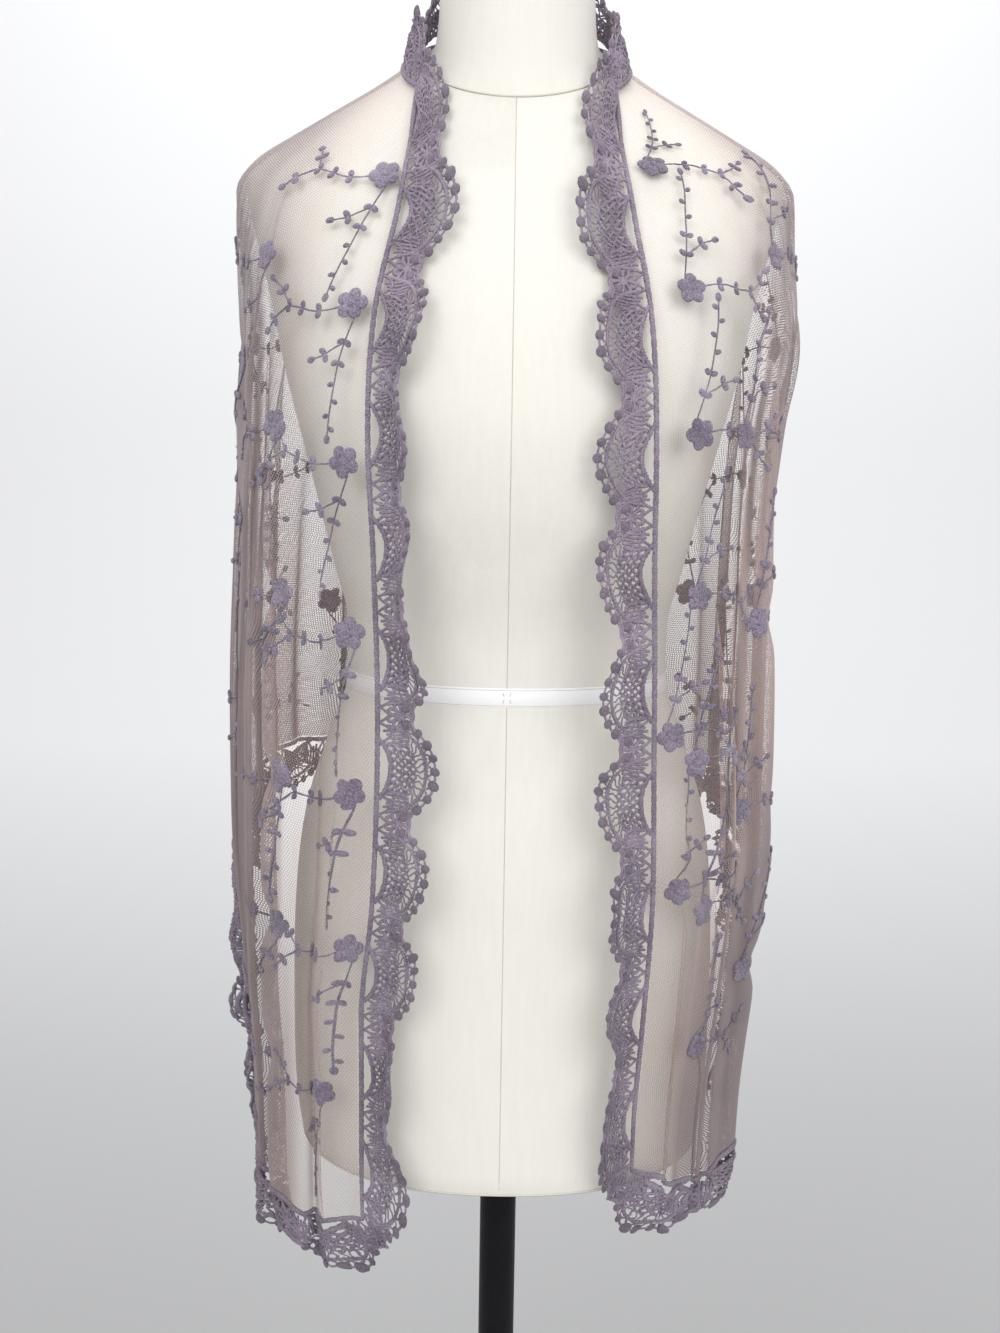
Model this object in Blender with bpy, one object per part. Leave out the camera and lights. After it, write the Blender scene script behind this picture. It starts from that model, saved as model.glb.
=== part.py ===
# Lace stole worn open on a limbless dress form that stands on a pole and a round base.
# Metres, +Z up, the front faces -Y, the origin is the centre of the base's underside.
# Heights in the tables are above the form's waist.
import math
from collections import namedtuple

import bmesh
import bpy
import numpy as np

# Stand and form
WAIST = 1.020
POLE_RADIUS = 0.0135
BASE_RADIUS = 0.200
BASE_THICKNESS = 0.014
BASE_EDGE = 0.004
COLLAR_RADIUS = 0.026
COLLAR_HEIGHT = 0.045
CAP_RADIUS = 0.050
CAP_THICKNESS = 0.008
FORM_SEGMENTS = 48
ROUND_SEGMENTS = 32
SEAT_GAP = 0.0003

# Cloth and lace
CLOTH_THICKNESS = 0.0012
SEAM_GAP = 0.0009  # between the edges' middle lines, which leaves about 0.3 mm between two rims
MITRE_GAP = 0.0014
REPEAT = 0.070
RING_SAMPLES = 181
HEM_SAMPLES = 361
YOKE_HEIGHTS = (0.402, 0.393, 0.380, 0.364, 0.347, 0.325, 0.290, 0.245)
FALL_ROWS = 8
FRONT_SHARE = 0.52

# A lace repeat, as shares of its length, with the valleys at its ends
REPEAT_COLUMNS = (-0.5, -0.215, -0.086, 0.086, 0.215)
PEAK_WIDTH = 0.046
VALLEY_WIDTH = 0.029
BRAID_WIDTH = 0.0035
OPENING_DEPTH = 0.0125
OPENING_TIP = 0.0065

FormRow = namedtuple("FormRow", "height half_width front back roundness tilt")
FORM = [
    FormRow(-0.333, 0.1440, 0.118, 0.120, 2.3, 0.00),
    FormRow(-0.325, 0.1465, 0.120, 0.122, 2.3, 0.00),
    FormRow(-0.245, 0.1510, 0.117, 0.126, 2.3, 0.00),
    FormRow(-0.155, 0.1490, 0.113, 0.124, 2.3, 0.00),
    FormRow(-0.090, 0.1405, 0.108, 0.112, 2.3, 0.00),
    FormRow(-0.040, 0.1245, 0.099, 0.097, 2.2, 0.00),
    FormRow(0.000, 0.1120, 0.093, 0.088, 2.2, 0.00),
    FormRow(0.035, 0.1115, 0.094, 0.086, 2.2, 0.00),
    FormRow(0.080, 0.1215, 0.104, 0.090, 2.2, 0.00),
    FormRow(0.125, 0.1325, 0.117, 0.096, 2.2, 0.00),
    FormRow(0.170, 0.1440, 0.123, 0.101, 2.2, 0.00),
    FormRow(0.210, 0.1540, 0.118, 0.104, 2.2, 0.00),
    FormRow(0.255, 0.1630, 0.106, 0.106, 2.2, 0.00),
    FormRow(0.300, 0.1740, 0.090, 0.104, 2.1, 0.04),
    FormRow(0.332, 0.1800, 0.077, 0.098, 1.9, 0.08),
    FormRow(0.350, 0.1620, 0.071, 0.091, 1.8, 0.16),
    FormRow(0.368, 0.1340, 0.066, 0.083, 1.8, 0.28),
    FormRow(0.384, 0.1050, 0.062, 0.076, 1.8, 0.40),
    FormRow(0.398, 0.0780, 0.058, 0.069, 1.9, 0.52),
    FormRow(0.410, 0.0600, 0.055, 0.062, 2.0, 0.60),
    FormRow(0.425, 0.0530, 0.052, 0.056, 2.0, 0.55),
    FormRow(0.465, 0.0510, 0.050, 0.053, 2.0, 0.35),
    FormRow(0.515, 0.0530, 0.052, 0.054, 2.0, 0.15),
]

# The hanging cloth's plain rings, before the folds, with a half width for each side.
ClothRow = namedtuple("ClothRow", "height left_width right_width front back roundness tilt")
CLOTH = [
    ClothRow(0.402, 0.0760, 0.0760, 0.0620, 0.0715, 1.95, 0.55),
    ClothRow(0.393, 0.0915, 0.0915, 0.0640, 0.0755, 1.90, 0.49),
    ClothRow(0.380, 0.1165, 0.1165, 0.0675, 0.0820, 1.85, 0.38),
    ClothRow(0.364, 0.1450, 0.1450, 0.0715, 0.0890, 1.85, 0.26),
    ClothRow(0.347, 0.1722, 0.1722, 0.0770, 0.0965, 1.90, 0.16),
    ClothRow(0.325, 0.1862, 0.1862, 0.0855, 0.1035, 2.05, 0.08),
    ClothRow(0.290, 0.1830, 0.1855, 0.0990, 0.1090, 2.20, 0.04),
    ClothRow(0.245, 0.1795, 0.1875, 0.1150, 0.1120, 2.30, 0.02),
    ClothRow(0.170, 0.1780, 0.1750, 0.1290, 0.1150, 2.40, 0.00),
    ClothRow(0.080, 0.1775, 0.1690, 0.1330, 0.1170, 2.50, 0.00),
    ClothRow(0.000, 0.1800, 0.1690, 0.1350, 0.1200, 2.50, 0.00),
    ClothRow(-0.100, 0.1810, 0.1705, 0.1370, 0.1300, 2.40, 0.00),
    ClothRow(-0.200, 0.1760, 0.1640, 0.1380, 0.1380, 2.25, 0.00),
    ClothRow(-0.300, 0.1720, 0.1560, 0.1390, 0.1400, 2.10, 0.00),
    ClothRow(-0.450, 0.1720, 0.1540, 0.1400, 0.1400, 2.10, 0.00),
]

# Where each front edge hangs, as its distance from the middle
EdgeRow = namedtuple("EdgeRow", "height left right")
EDGE = [
    EdgeRow(0.402, 0.0640, 0.0640),
    EdgeRow(0.350, 0.0690, 0.0690),
    EdgeRow(0.310, 0.0740, 0.0750),
    EdgeRow(0.245, 0.0865, 0.0860),
    EdgeRow(0.170, 0.0900, 0.0905),
    EdgeRow(0.090, 0.0860, 0.0920),
    EdgeRow(0.000, 0.0830, 0.0945),
    EdgeRow(-0.125, 0.0860, 0.0975),
    EdgeRow(-0.210, 0.0940, 0.0945),
    EdgeRow(-0.290, 0.0940, 0.0900),
    EdgeRow(-0.450, 0.0870, 0.0890),
]

# The net's lower edge, at shares of the way from the front edge round to the middle of the back
HemRow = namedtuple("HemRow", "share left right")
HEM = [
    HemRow(0.00, -0.348, -0.312),
    HemRow(0.08, -0.353, -0.328),
    HemRow(0.16, -0.344, -0.333),
    HemRow(0.24, -0.323, -0.318),
    HemRow(0.31, -0.264, -0.272),
    HemRow(0.37, -0.197, -0.216),
    HemRow(0.42, -0.144, -0.164),
    HemRow(0.47, -0.105, -0.117),
    HemRow(0.53, -0.080, -0.089),
    HemRow(0.62, -0.068, -0.080),
    HemRow(0.75, -0.074, -0.086),
    HemRow(1.00, -0.095, -0.095),
]
CORNER_SHARE = 0.245

# Hanging folds: where the ridge is, how far it stands out, its half width, and where it starts
FoldRow = namedtuple("FoldRow", "share depth half_width top")
FOLDS = {
    "left": [
        FoldRow(0.060, 0.009, 0.016, 0.120),
        FoldRow(0.135, 0.012, 0.017, 0.170),
        FoldRow(0.210, 0.015, 0.017, 0.250),
        FoldRow(0.285, 0.008, 0.016, 0.290),
        FoldRow(0.360, 0.013, 0.018, 0.300),
        FoldRow(0.440, 0.010, 0.017, 0.310),
        FoldRow(0.440, 0.011, 0.022, 0.080),
        FoldRow(0.525, 0.015, 0.020, 0.300),
        FoldRow(0.620, 0.012, 0.020, 0.270),
        FoldRow(0.720, 0.016, 0.022, 0.250),
        FoldRow(0.830, 0.012, 0.022, 0.220),
        FoldRow(0.940, 0.010, 0.022, 0.180),
    ],
    "right": [
        FoldRow(0.070, 0.008, 0.016, 0.080),
        FoldRow(0.140, 0.011, 0.016, 0.150),
        FoldRow(0.215, 0.015, 0.017, 0.230),
        FoldRow(0.290, 0.008, 0.016, 0.290),
        FoldRow(0.350, 0.011, 0.017, 0.310),
        FoldRow(0.435, 0.013, 0.019, 0.300),
        FoldRow(0.435, 0.009, 0.022, 0.040),
        FoldRow(0.530, 0.011, 0.019, 0.300),
        FoldRow(0.630, 0.015, 0.021, 0.260),
        FoldRow(0.740, 0.012, 0.022, 0.240),
        FoldRow(0.860, 0.014, 0.022, 0.200),
    ],
}
FOLD_REACH = 0.260

# How the front lace lies: turned forward from flat, and raised from level, in degrees
LaceRow = namedtuple("LaceRow", "height left_turn right_turn rise")
LACE = [
    LaceRow(0.402, 20.0, 20.0, 74.0),
    LaceRow(0.385, 22.0, 22.0, 66.0),
    LaceRow(0.365, 24.0, 24.0, 50.0),
    LaceRow(0.345, 26.0, 26.0, 34.0),
    LaceRow(0.320, 28.0, 28.0, 16.0),
    LaceRow(0.290, 28.0, 26.0, 0.0),
    LaceRow(0.245, 30.0, 24.0, 0.0),
    LaceRow(0.190, 52.0, 20.0, 0.0),
    LaceRow(0.130, 62.0, 20.0, 0.0),
    LaceRow(0.060, 56.0, 26.0, 0.0),
    LaceRow(0.000, 26.0, 26.0, 0.0),
    LaceRow(-0.100, 22.0, 30.0, 0.0),
    LaceRow(-0.180, 34.0, 44.0, 0.0),
    LaceRow(-0.350, 22.0, 30.0, 0.0),
]
NECK_RISE = 74.0
MITRE_REACH = 0.090

# Colours and finishes: base colour, roughness, metallic
FINISHES = {
    "linen": ((0.86, 0.84, 0.78), 0.85, 0.0),
    "black_metal": ((0.02, 0.02, 0.025), 0.40, 0.6),
    "net": ((0.42, 0.36, 0.38), 0.75, 0.0),
    "lace": ((0.34, 0.30, 0.36), 0.80, 0.0),
}


def smooth_value(rows, x_field, y_field, x):
    """Value at x on a soft curve through a table's rows, with no overshoot."""
    xs = np.array([getattr(row, x_field) for row in rows])
    ys = np.array([getattr(row, y_field) for row in rows])
    if xs[0] > xs[-1]:
        xs, ys = xs[::-1], ys[::-1]
    steps = np.diff(ys) / np.diff(xs)
    slopes = np.concatenate([[steps[0]], (steps[:-1] + steps[1:]) / 2.0, [steps[-1]]])
    slopes[1:-1] = np.where(steps[:-1] * steps[1:] <= 0.0, 0.0, slopes[1:-1])
    limit = 3.0 * np.minimum(np.abs(np.append(steps, steps[-1])), np.abs(np.insert(steps, 0, steps[0])))
    slopes = np.clip(slopes, -limit, limit)
    if x <= xs[0]:
        return ys[0] + slopes[0] * (x - xs[0])
    if x >= xs[-1]:
        return ys[-1] + slopes[-1] * (x - xs[-1])
    i = int(np.searchsorted(xs, x)) - 1
    span = xs[i + 1] - xs[i]
    t = (x - xs[i]) / span
    return float(
        (1 + 2 * t) * (1 - t) ** 2 * ys[i] + t * (1 - t) ** 2 * span * slopes[i]
        + t * t * (3 - 2 * t) * ys[i + 1] + t * t * (t - 1) * span * slopes[i + 1]
    )


def smooth_step(x):
    x = min(max(x, 0.0), 1.0)
    return x * x * (3.0 - 2.0 * x)


def oval(half_width, front, back, roundness, angles):
    """Half of a rounded oval from the middle of the front (angle 0) to the middle of the back."""
    power = 2.0 / roundness
    x = half_width * np.sin(angles) ** power
    cosines = np.cos(angles)
    y = np.where(cosines > 0.0, -front, back) * np.abs(cosines) ** power
    return x, y


ring_cache = {}


def plain_ring(side, height):
    """A cloth ring without folds, as points with their lengths from the front edge to the back."""
    key = (side, round(height, 6))
    if key not in ring_cache:
        fields = (side + "_width", "front", "back", "roundness", "tilt")
        values = [smooth_value(CLOTH, "height", name, height) for name in fields]
        angles = np.linspace(0.0, math.pi, RING_SAMPLES)
        x, y = oval(*values[:4], angles)
        lengths = np.concatenate([[0.0], np.cumsum(np.hypot(np.diff(x), np.diff(y)))])
        front = RING_SAMPLES // 2 + 1
        edge = np.interp(smooth_value(EDGE, "height", side, height), x[:front], lengths[:front])
        ring_cache[key] = (x, y, lengths - edge, values[4])
    return ring_cache[key]


def fold_height(side, share, height, ring_length):
    """How far the folds stand out from the plain ring."""
    total = 0.0
    for fold in FOLDS[side]:
        off = (share - fold.share) * ring_length / fold.half_width
        if abs(off) < 1.0:
            grown = smooth_step((fold.top - height) / FOLD_REACH)
            total += fold.depth * grown * math.cos(off * math.pi / 2.0) ** 2
    return total


def cloth_point(side, share, height, distance=0.0):
    """A point of the cloth, at a share of the way round and a distance further along the ring."""
    x, y, lengths, tilt = plain_ring(side, height)
    place = share * lengths[-1] + distance
    px = np.interp(place, lengths, x)
    py = np.interp(place, lengths, y)
    step = 0.004
    dx = np.interp(place + step, lengths, x) - np.interp(place - step, lengths, x)
    dy = np.interp(place + step, lengths, y) - np.interp(place - step, lengths, y)
    if place > lengths[-1] - step:
        dx, dy = -1.0, 0.0
    size = math.hypot(dx, dy)
    out = fold_height(side, place / lengths[-1], height, lengths[-1])
    sign = -1.0 if side == "left" else 1.0
    return np.array([
        sign * (px + out * dy / size),
        py - out * dx / size,
        WAIST + height + tilt * py,
    ])


def hem_height(side, share):
    return smooth_value(HEM, "share", side, share)


def scallop_width(along):
    """Width of the lace from its braid to its outer edge; along is -0.5 to 0.5 in a repeat."""
    return VALLEY_WIDTH + (PEAK_WIDTH - VALLEY_WIDTH) * math.cos(math.pi * along) ** 0.8


def lace_rows(along):
    """The lace's distances from its braid, for its rows of points."""
    opening = OPENING_DEPTH if abs(along) < 0.2 else OPENING_TIP
    if abs(along) > 0.3:
        opening = (BRAID_WIDTH + OPENING_DEPTH) / 2.0
    return [0.0, BRAID_WIDTH, opening, scallop_width(along)]


def hem_columns(side):
    """Shares round the half where the net and the hem lace have their columns, with each column's place in a repeat."""
    shares = np.linspace(0.0, 1.0, HEM_SAMPLES)
    points = np.array([cloth_point(side, share, hem_height(side, share)) for share in shares])
    lengths = np.concatenate([[0.0], np.cumsum(np.linalg.norm(np.diff(points, axis=0), axis=1))])
    corner = np.interp(CORNER_SHARE, shares, lengths)
    columns = []
    for start, end in ((0.0, corner), (corner, lengths[-1])):
        repeats = max(1, round((end - start) / REPEAT))
        size = (end - start) / repeats
        for repeat in range(repeats):
            for along in REPEAT_COLUMNS:
                place = start + (repeat + 0.5 + along) * size
                columns.append((float(np.interp(place, lengths, shares)), along))
    columns.append((1.0, -0.5))
    corner_index = next(i for i, column in enumerate(columns) if column[0] >= CORNER_SHARE - 1e-6)
    return columns, corner_index


def row_heights(side, share):
    """Heights of the net's rows down one rib, from the neck edge to the hem."""
    hem = hem_height(side, share)
    last = YOKE_HEIGHTS[-1]
    falls = [last + (hem - last) * (row + 1) / FALL_ROWS for row in range(FALL_ROWS)]
    return list(YOKE_HEIGHTS) + falls


def net_column(side, share, distance=0.0):
    """The net's points down one rib."""
    return [cloth_point(side, share, height, distance) for height in row_heights(side, share)]


def net_edge_point(side, height):
    """A point on the net's front edge, on the straight runs between its rows."""
    heights = row_heights(side, 0.0)[::-1]
    points = np.array(net_column(side, 0.0)[::-1])
    return np.array([np.interp(height, heights, points[:, axis]) for axis in range(3)])


def hem_lace_column(side, share, along, distance=0.0):
    """The hem lace's points at one column, square to the hem and on the cloth's own surface."""
    step = 0.01
    hem = hem_height(side, share)
    length = plain_ring(side, hem)[2][-1]
    low, high = max(share - step, 0.0), min(share + step, 1.0)
    rise = (hem_height(side, high) - hem_height(side, low)) / ((high - low) * length)
    if share < step or share > 1.0 - step:
        rise = 0.0
    grown = smooth_step(share * length / MITRE_REACH)
    angle = grown * math.atan(rise) - (1.0 - grown) * math.radians(45.0)
    points = []
    for b in lace_rows(along):
        across = SEAM_GAP + b
        points.append(cloth_point(side, share, hem - across * math.cos(angle), across * math.sin(angle) + distance))
    return points


def rotated_lace(edge_point, inward, turn, rise, b):
    """A lace point beside an edge, turned forward and raised."""
    forward = np.array([0.0, -1.0, 0.0])
    up = np.array([0.0, 0.0, 1.0])
    level = inward * math.cos(turn) + forward * math.sin(turn)
    level /= np.linalg.norm(level)
    return edge_point + b * (level * math.cos(rise) + up * math.sin(rise))


def front_lace_column(side, height, along):
    """The front lace's points beside the front edge, at one height."""
    sign = -1.0 if side == "left" else 1.0
    edge_point = net_edge_point(side, height)
    hem = hem_height(side, 0.0)
    turn = math.radians(smooth_value(LACE, "height", side + "_turn", height))
    rise = math.radians(smooth_value(LACE, "height", "rise", height))
    round_neck = smooth_step((height - 0.30) / (YOKE_HEIGHTS[0] - 0.30))
    radial = -np.array([edge_point[0], edge_point[1], 0.0])
    radial /= np.linalg.norm(radial)
    inward = (1.0 - round_neck) * np.array([-sign, 0.0, 0.0]) + round_neck * radial
    inward /= np.linalg.norm(inward)
    mitre = 1.0 - smooth_step((height - hem) / MITRE_REACH)
    angle = math.radians(45.0) * mitre
    points = []
    for b in lace_rows(along):
        across = SEAM_GAP * (1.0 + round_neck) + b
        hung = rotated_lace(edge_point, inward, turn * (1.0 - round_neck), rise, across)
        flat = cloth_point(side, 0.0, height - across * math.sin(angle), -across * math.cos(angle))
        flat += edge_point - cloth_point(side, 0.0, height)
        points.append((1.0 - mitre) * hung + mitre * flat)
    return points


def neck_lace_column(side, share, along):
    """The standing lace's points round the neck."""
    edge_point = cloth_point(side, share, YOKE_HEIGHTS[0])
    radial = -np.array([edge_point[0], edge_point[1], 0.0])
    radial /= np.linalg.norm(radial)
    grown = smooth_step(share / 0.35)
    front_rise = smooth_value(LACE, "height", "rise", YOKE_HEIGHTS[0])
    rise = math.radians(front_rise + (NECK_RISE - front_rise) * grown)
    return [rotated_lace(edge_point, radial, 0.0, rise, 2.0 * SEAM_GAP + b) for b in lace_rows(along)]


def finish_material(name):
    colour, roughness, metallic = FINISHES[name]
    material = bpy.data.materials.get(name) or bpy.data.materials.new(name)
    material.use_nodes = True
    shader = material.node_tree.nodes["Principled BSDF"]
    shader.inputs["Base Color"].default_value = (*colour, 1.0)
    shader.inputs["Roughness"].default_value = roughness
    shader.inputs["Metallic"].default_value = metallic
    return material


def add_object(name, mesh_source, finish):
    mesh = bpy.data.meshes.new(name)
    mesh_source.to_mesh(mesh)
    mesh_source.free()
    mesh.shade_smooth()
    mesh.set_sharp_from_angle(angle=math.radians(40.0))
    piece = bpy.data.objects.new(name, mesh)
    piece.data.materials.append(finish_material(finish))
    bpy.context.scene.collection.objects.link(piece)
    return piece


def cloth_wall(name, columns, finish, openings=()):
    """A sheet through columns of points, cut at its openings and given its thickness."""
    rows = len(columns[0])
    sheet = bmesh.new()
    bmesh.ops.create_grid(sheet, x_segments=len(columns) - 1, y_segments=rows - 1, size=0.5)
    sheet.verts.ensure_lookup_table()
    for vert in sheet.verts:
        i = round((vert.co.x + 0.5) * (len(columns) - 1))
        j = round((0.5 - vert.co.y) * (rows - 1))
        vert.tag = False
        vert.index = i * rows + j
    cut = set(openings)
    doomed = []
    for face in sheet.faces:
        i = min(vert.index // rows for vert in face.verts)
        j = min(vert.index % rows for vert in face.verts)
        if (i, j) in cut:
            doomed.append(face)
    for vert in sheet.verts:
        vert.co = columns[vert.index // rows][vert.index % rows]
    bmesh.ops.delete(sheet, geom=doomed, context="FACES")
    bmesh.ops.triangulate(sheet, faces=sheet.faces[:])
    piece = add_object(name, sheet, finish)
    wall = piece.modifiers.new("cloth thickness", "SOLIDIFY")
    wall.thickness = CLOTH_THICKNESS
    wall.offset = 0.0
    wall.use_even_offset = False
    return piece


def opening_cells(places):
    """The grid cells of the almond openings, from each column's place in its repeat."""
    cells = []
    for i, along in enumerate(places[:-1]):
        if -0.22 < along < 0.2:
            cells.append((i, 1))
    return cells


def lathe(name, profile, finish):
    """A turned solid from a profile of radius and height, with its ends on the axis."""
    turned = bmesh.new()
    verts = [turned.verts.new((radius, 0.0, height)) for radius, height in profile]
    edges = [turned.edges.new(pair) for pair in zip(verts[:-1], verts[1:])]
    bmesh.ops.spin(
        turned, geom=verts + edges, cent=(0, 0, 0), axis=(0, 0, 1), angle=math.tau,
        steps=ROUND_SEGMENTS, use_merge=True, use_duplicate=False,
    )
    bmesh.ops.remove_doubles(turned, verts=turned.verts[:], dist=1e-6)
    bmesh.ops.recalc_face_normals(turned, faces=turned.faces[:])
    bmesh.ops.triangulate(turned, faces=turned.faces[:])
    return add_object(name, turned, finish)


def build_form():
    """The body of the dress form: rounded ovals from its lower edge to its neck, closed at both ends."""
    angles = np.arange(FORM_SEGMENTS) * math.tau / FORM_SEGMENTS
    body = bmesh.new()
    rings = []
    for row in FORM:
        power = 2.0 / row.roundness
        ring = []
        for angle in angles:
            sine, cosine = math.sin(angle), math.cos(angle)
            x = row.half_width * math.copysign(abs(sine) ** power, sine)
            depth = -row.front if cosine > 0.0 else row.back
            y = depth * abs(cosine) ** power
            ring.append(body.verts.new((x, y, WAIST + row.height + row.tilt * y)))
        edges = [body.edges.new((ring[i], ring[(i + 1) % FORM_SEGMENTS])) for i in range(FORM_SEGMENTS)]
        rings.append((ring, edges))
    for (_, lower), (_, upper) in zip(rings[:-1], rings[1:]):
        bmesh.ops.bridge_loops(body, edges=lower + upper)
    bmesh.ops.contextual_create(body, geom=rings[0][1])
    bmesh.ops.contextual_create(body, geom=rings[-1][1])
    bmesh.ops.recalc_face_normals(body, faces=body.faces[:])
    bmesh.ops.triangulate(body, faces=body.faces[:])
    return add_object("form_body", body, "linen")


def build_cap():
    """A plain plate on the neck, tilted as the neck's top is."""
    top = FORM[-1]
    disc = bmesh.new()
    bmesh.ops.create_cone(
        disc, cap_ends=True, segments=ROUND_SEGMENTS, radius1=CAP_RADIUS, radius2=CAP_RADIUS, depth=CAP_THICKNESS,
    )
    seat = WAIST + top.height + SEAT_GAP + CAP_THICKNESS / 2.0
    for vert in disc.verts:
        vert.co.z += seat + top.tilt * vert.co.y
    bmesh.ops.triangulate(disc, faces=disc.faces[:])
    return add_object("neck_cap", disc, "black_metal")


def build_stand():
    """The round base, the collar on it and the pole that carries the form."""
    edge = BASE_EDGE
    lathe("stand_base", [
        (0.0, 0.0), (BASE_RADIUS - edge, 0.0), (BASE_RADIUS, edge), (BASE_RADIUS, BASE_THICKNESS - edge),
        (BASE_RADIUS - edge, BASE_THICKNESS), (0.0, BASE_THICKNESS),
    ], "black_metal")
    inner = POLE_RADIUS + SEAT_GAP
    lathe("stand_pole", [
        (0.0, BASE_THICKNESS + SEAT_GAP), (POLE_RADIUS, BASE_THICKNESS + SEAT_GAP),
        (POLE_RADIUS, WAIST + FORM[0].height - SEAT_GAP), (0.0, WAIST + FORM[0].height - SEAT_GAP),
    ], "black_metal")
    foot = BASE_THICKNESS + SEAT_GAP
    lathe("stand_collar", [
        (inner, foot), (COLLAR_RADIUS + 0.008, foot), (COLLAR_RADIUS, foot + 0.010),
        (COLLAR_RADIUS - 0.004, foot + COLLAR_HEIGHT), (inner, foot + COLLAR_HEIGHT), (inner, foot),
    ], "black_metal")


def build_nets(columns):
    """The net in the three stretches that show: a front on each side and the back."""
    split = {}
    for side in ("left", "right"):
        shares = [share for share, _ in columns[side][0]]
        split[side] = next(i for i, share in enumerate(shares) if share >= FRONT_SHARE)
        front = [net_column(side, share) for share in shares[:split[side]]]
        front.append(net_column(side, shares[split[side]], -SEAM_GAP))
        cloth_wall("net_" + side + "_front", front if side == "right" else front[::-1], "net")
    back = []
    for side, order in (("right", 1), ("left", -1)):
        shares = [share for share, _ in columns[side][0]][split[side]:]
        half = [net_column(side, share) for share in shares]
        back += half[:-1] if order == 1 else half[::-1]
    cloth_wall("net_back", back, "net")


def build_hem_lace(columns):
    """The lace along each short end and along the long lower edge."""
    outer = []
    places = []
    for side in ("right", "left"):
        table, corner = columns[side]
        end = [hem_lace_column(side, share, along) for share, along in table[:corner]]
        end[0] = hem_lace_column(side, table[0][0], table[0][1], MITRE_GAP)
        end.append(hem_lace_column(side, table[corner][0], -0.5, -SEAM_GAP))
        end_places = [along for _, along in table[:corner]] + [-0.5]
        if side == "left":
            end = end[::-1]
            cells = [(len(end) - 2 - i, j) for i, j in opening_cells(end_places)]
        else:
            cells = opening_cells(end_places)
        cloth_wall("lace_" + side + "_end", end, "lace", cells)
        half = [hem_lace_column(side, share, along) for share, along in table[corner:]]
        half_places = [along for _, along in table[corner:]]
        if side == "right":
            outer += half[:-1]
            places += [(i, 1) for i, along in enumerate(half_places[:-1]) if -0.22 < along < 0.2]
        else:
            start = len(outer)
            outer += half[::-1]
            count = len(half_places)
            places += [(start + count - 2 - i, j) for i, j in opening_cells(half_places)]
    cloth_wall("lace_back_hem", outer, "lace", places)


def build_edge_lace():
    """The lace along the front edges and round the neck."""
    for side in ("left", "right"):
        hem = hem_height(side, 0.0)
        heights = np.linspace(hem, YOKE_HEIGHTS[0], HEM_SAMPLES)
        points = np.array([cloth_point(side, 0.0, height) for height in heights])
        lengths = np.concatenate([[0.0], np.cumsum(np.linalg.norm(np.diff(points, axis=0), axis=1))])
        repeats = round(lengths[-1] / REPEAT)
        size = lengths[-1] / repeats
        columns = []
        places = []
        for repeat in range(repeats):
            for along in REPEAT_COLUMNS:
                place = max((repeat + 0.5 + along) * size, MITRE_GAP)
                columns.append(front_lace_column(side, float(np.interp(place, lengths, heights)), along))
                places.append(along)
        last = float(np.interp(lengths[-1] - SEAM_GAP, lengths, heights))
        columns.append(front_lace_column(side, last, -0.5))
        places.append(-0.5)
        cells = opening_cells(places)
        if side == "left":
            columns = columns[::-1]
            cells = [(len(columns) - 2 - i, j) for i, j in cells]
        cloth_wall("lace_" + side + "_front", columns, "lace", cells)
    shares = np.linspace(0.0, 1.0, HEM_SAMPLES)
    neck = []
    cells = []
    for side in ("right", "left"):
        points = np.array([cloth_point(side, share, YOKE_HEIGHTS[0]) for share in shares])
        lengths = np.concatenate([[0.0], np.cumsum(np.linalg.norm(np.diff(points, axis=0), axis=1))])
        repeats = max(1, round(lengths[-1] / REPEAT))
        size = lengths[-1] / repeats
        half = []
        places = []
        for repeat in range(repeats):
            for along in REPEAT_COLUMNS:
                share = float(np.interp((repeat + 0.5 + along) * size, lengths, shares))
                half.append(neck_lace_column(side, share, along))
                places.append(along)
        half.append(neck_lace_column(side, 1.0, -0.5))
        places.append(-0.5)
        if side == "right":
            cells += opening_cells(places)
            neck += half[:-1]
        else:
            start = len(neck)
            cells += [(start + len(half) - 2 - i, j) for i, j in opening_cells(places)]
            neck += half[::-1]
    cloth_wall("lace_neck", neck, "lace", cells)


def main():
    for old in list(bpy.data.objects):
        bpy.data.objects.remove(old, do_unlink=True)
    build_form()
    build_cap()
    build_stand()
    columns = {side: hem_columns(side) for side in ("left", "right")}
    build_nets(columns)
    build_hem_lace(columns)
    build_edge_lace()


main()
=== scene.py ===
import math

import bmesh
import bpy
import numpy as np
from mathutils import Matrix, Vector


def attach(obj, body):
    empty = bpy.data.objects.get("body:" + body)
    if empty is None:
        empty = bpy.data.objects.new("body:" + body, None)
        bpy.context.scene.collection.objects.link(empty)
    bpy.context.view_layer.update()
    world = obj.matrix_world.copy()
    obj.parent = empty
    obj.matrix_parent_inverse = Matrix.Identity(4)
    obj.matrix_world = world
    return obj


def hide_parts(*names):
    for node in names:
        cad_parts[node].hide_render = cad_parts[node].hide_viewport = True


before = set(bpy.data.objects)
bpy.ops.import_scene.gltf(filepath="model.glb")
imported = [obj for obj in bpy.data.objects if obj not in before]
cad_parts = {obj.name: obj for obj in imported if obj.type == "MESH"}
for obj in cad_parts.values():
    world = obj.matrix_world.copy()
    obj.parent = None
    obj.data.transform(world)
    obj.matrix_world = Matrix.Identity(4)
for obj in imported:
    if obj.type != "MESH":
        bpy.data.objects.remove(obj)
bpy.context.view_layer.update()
print("frame loaded")

random = np.random.default_rng(11)
waist = 1.02

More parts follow.
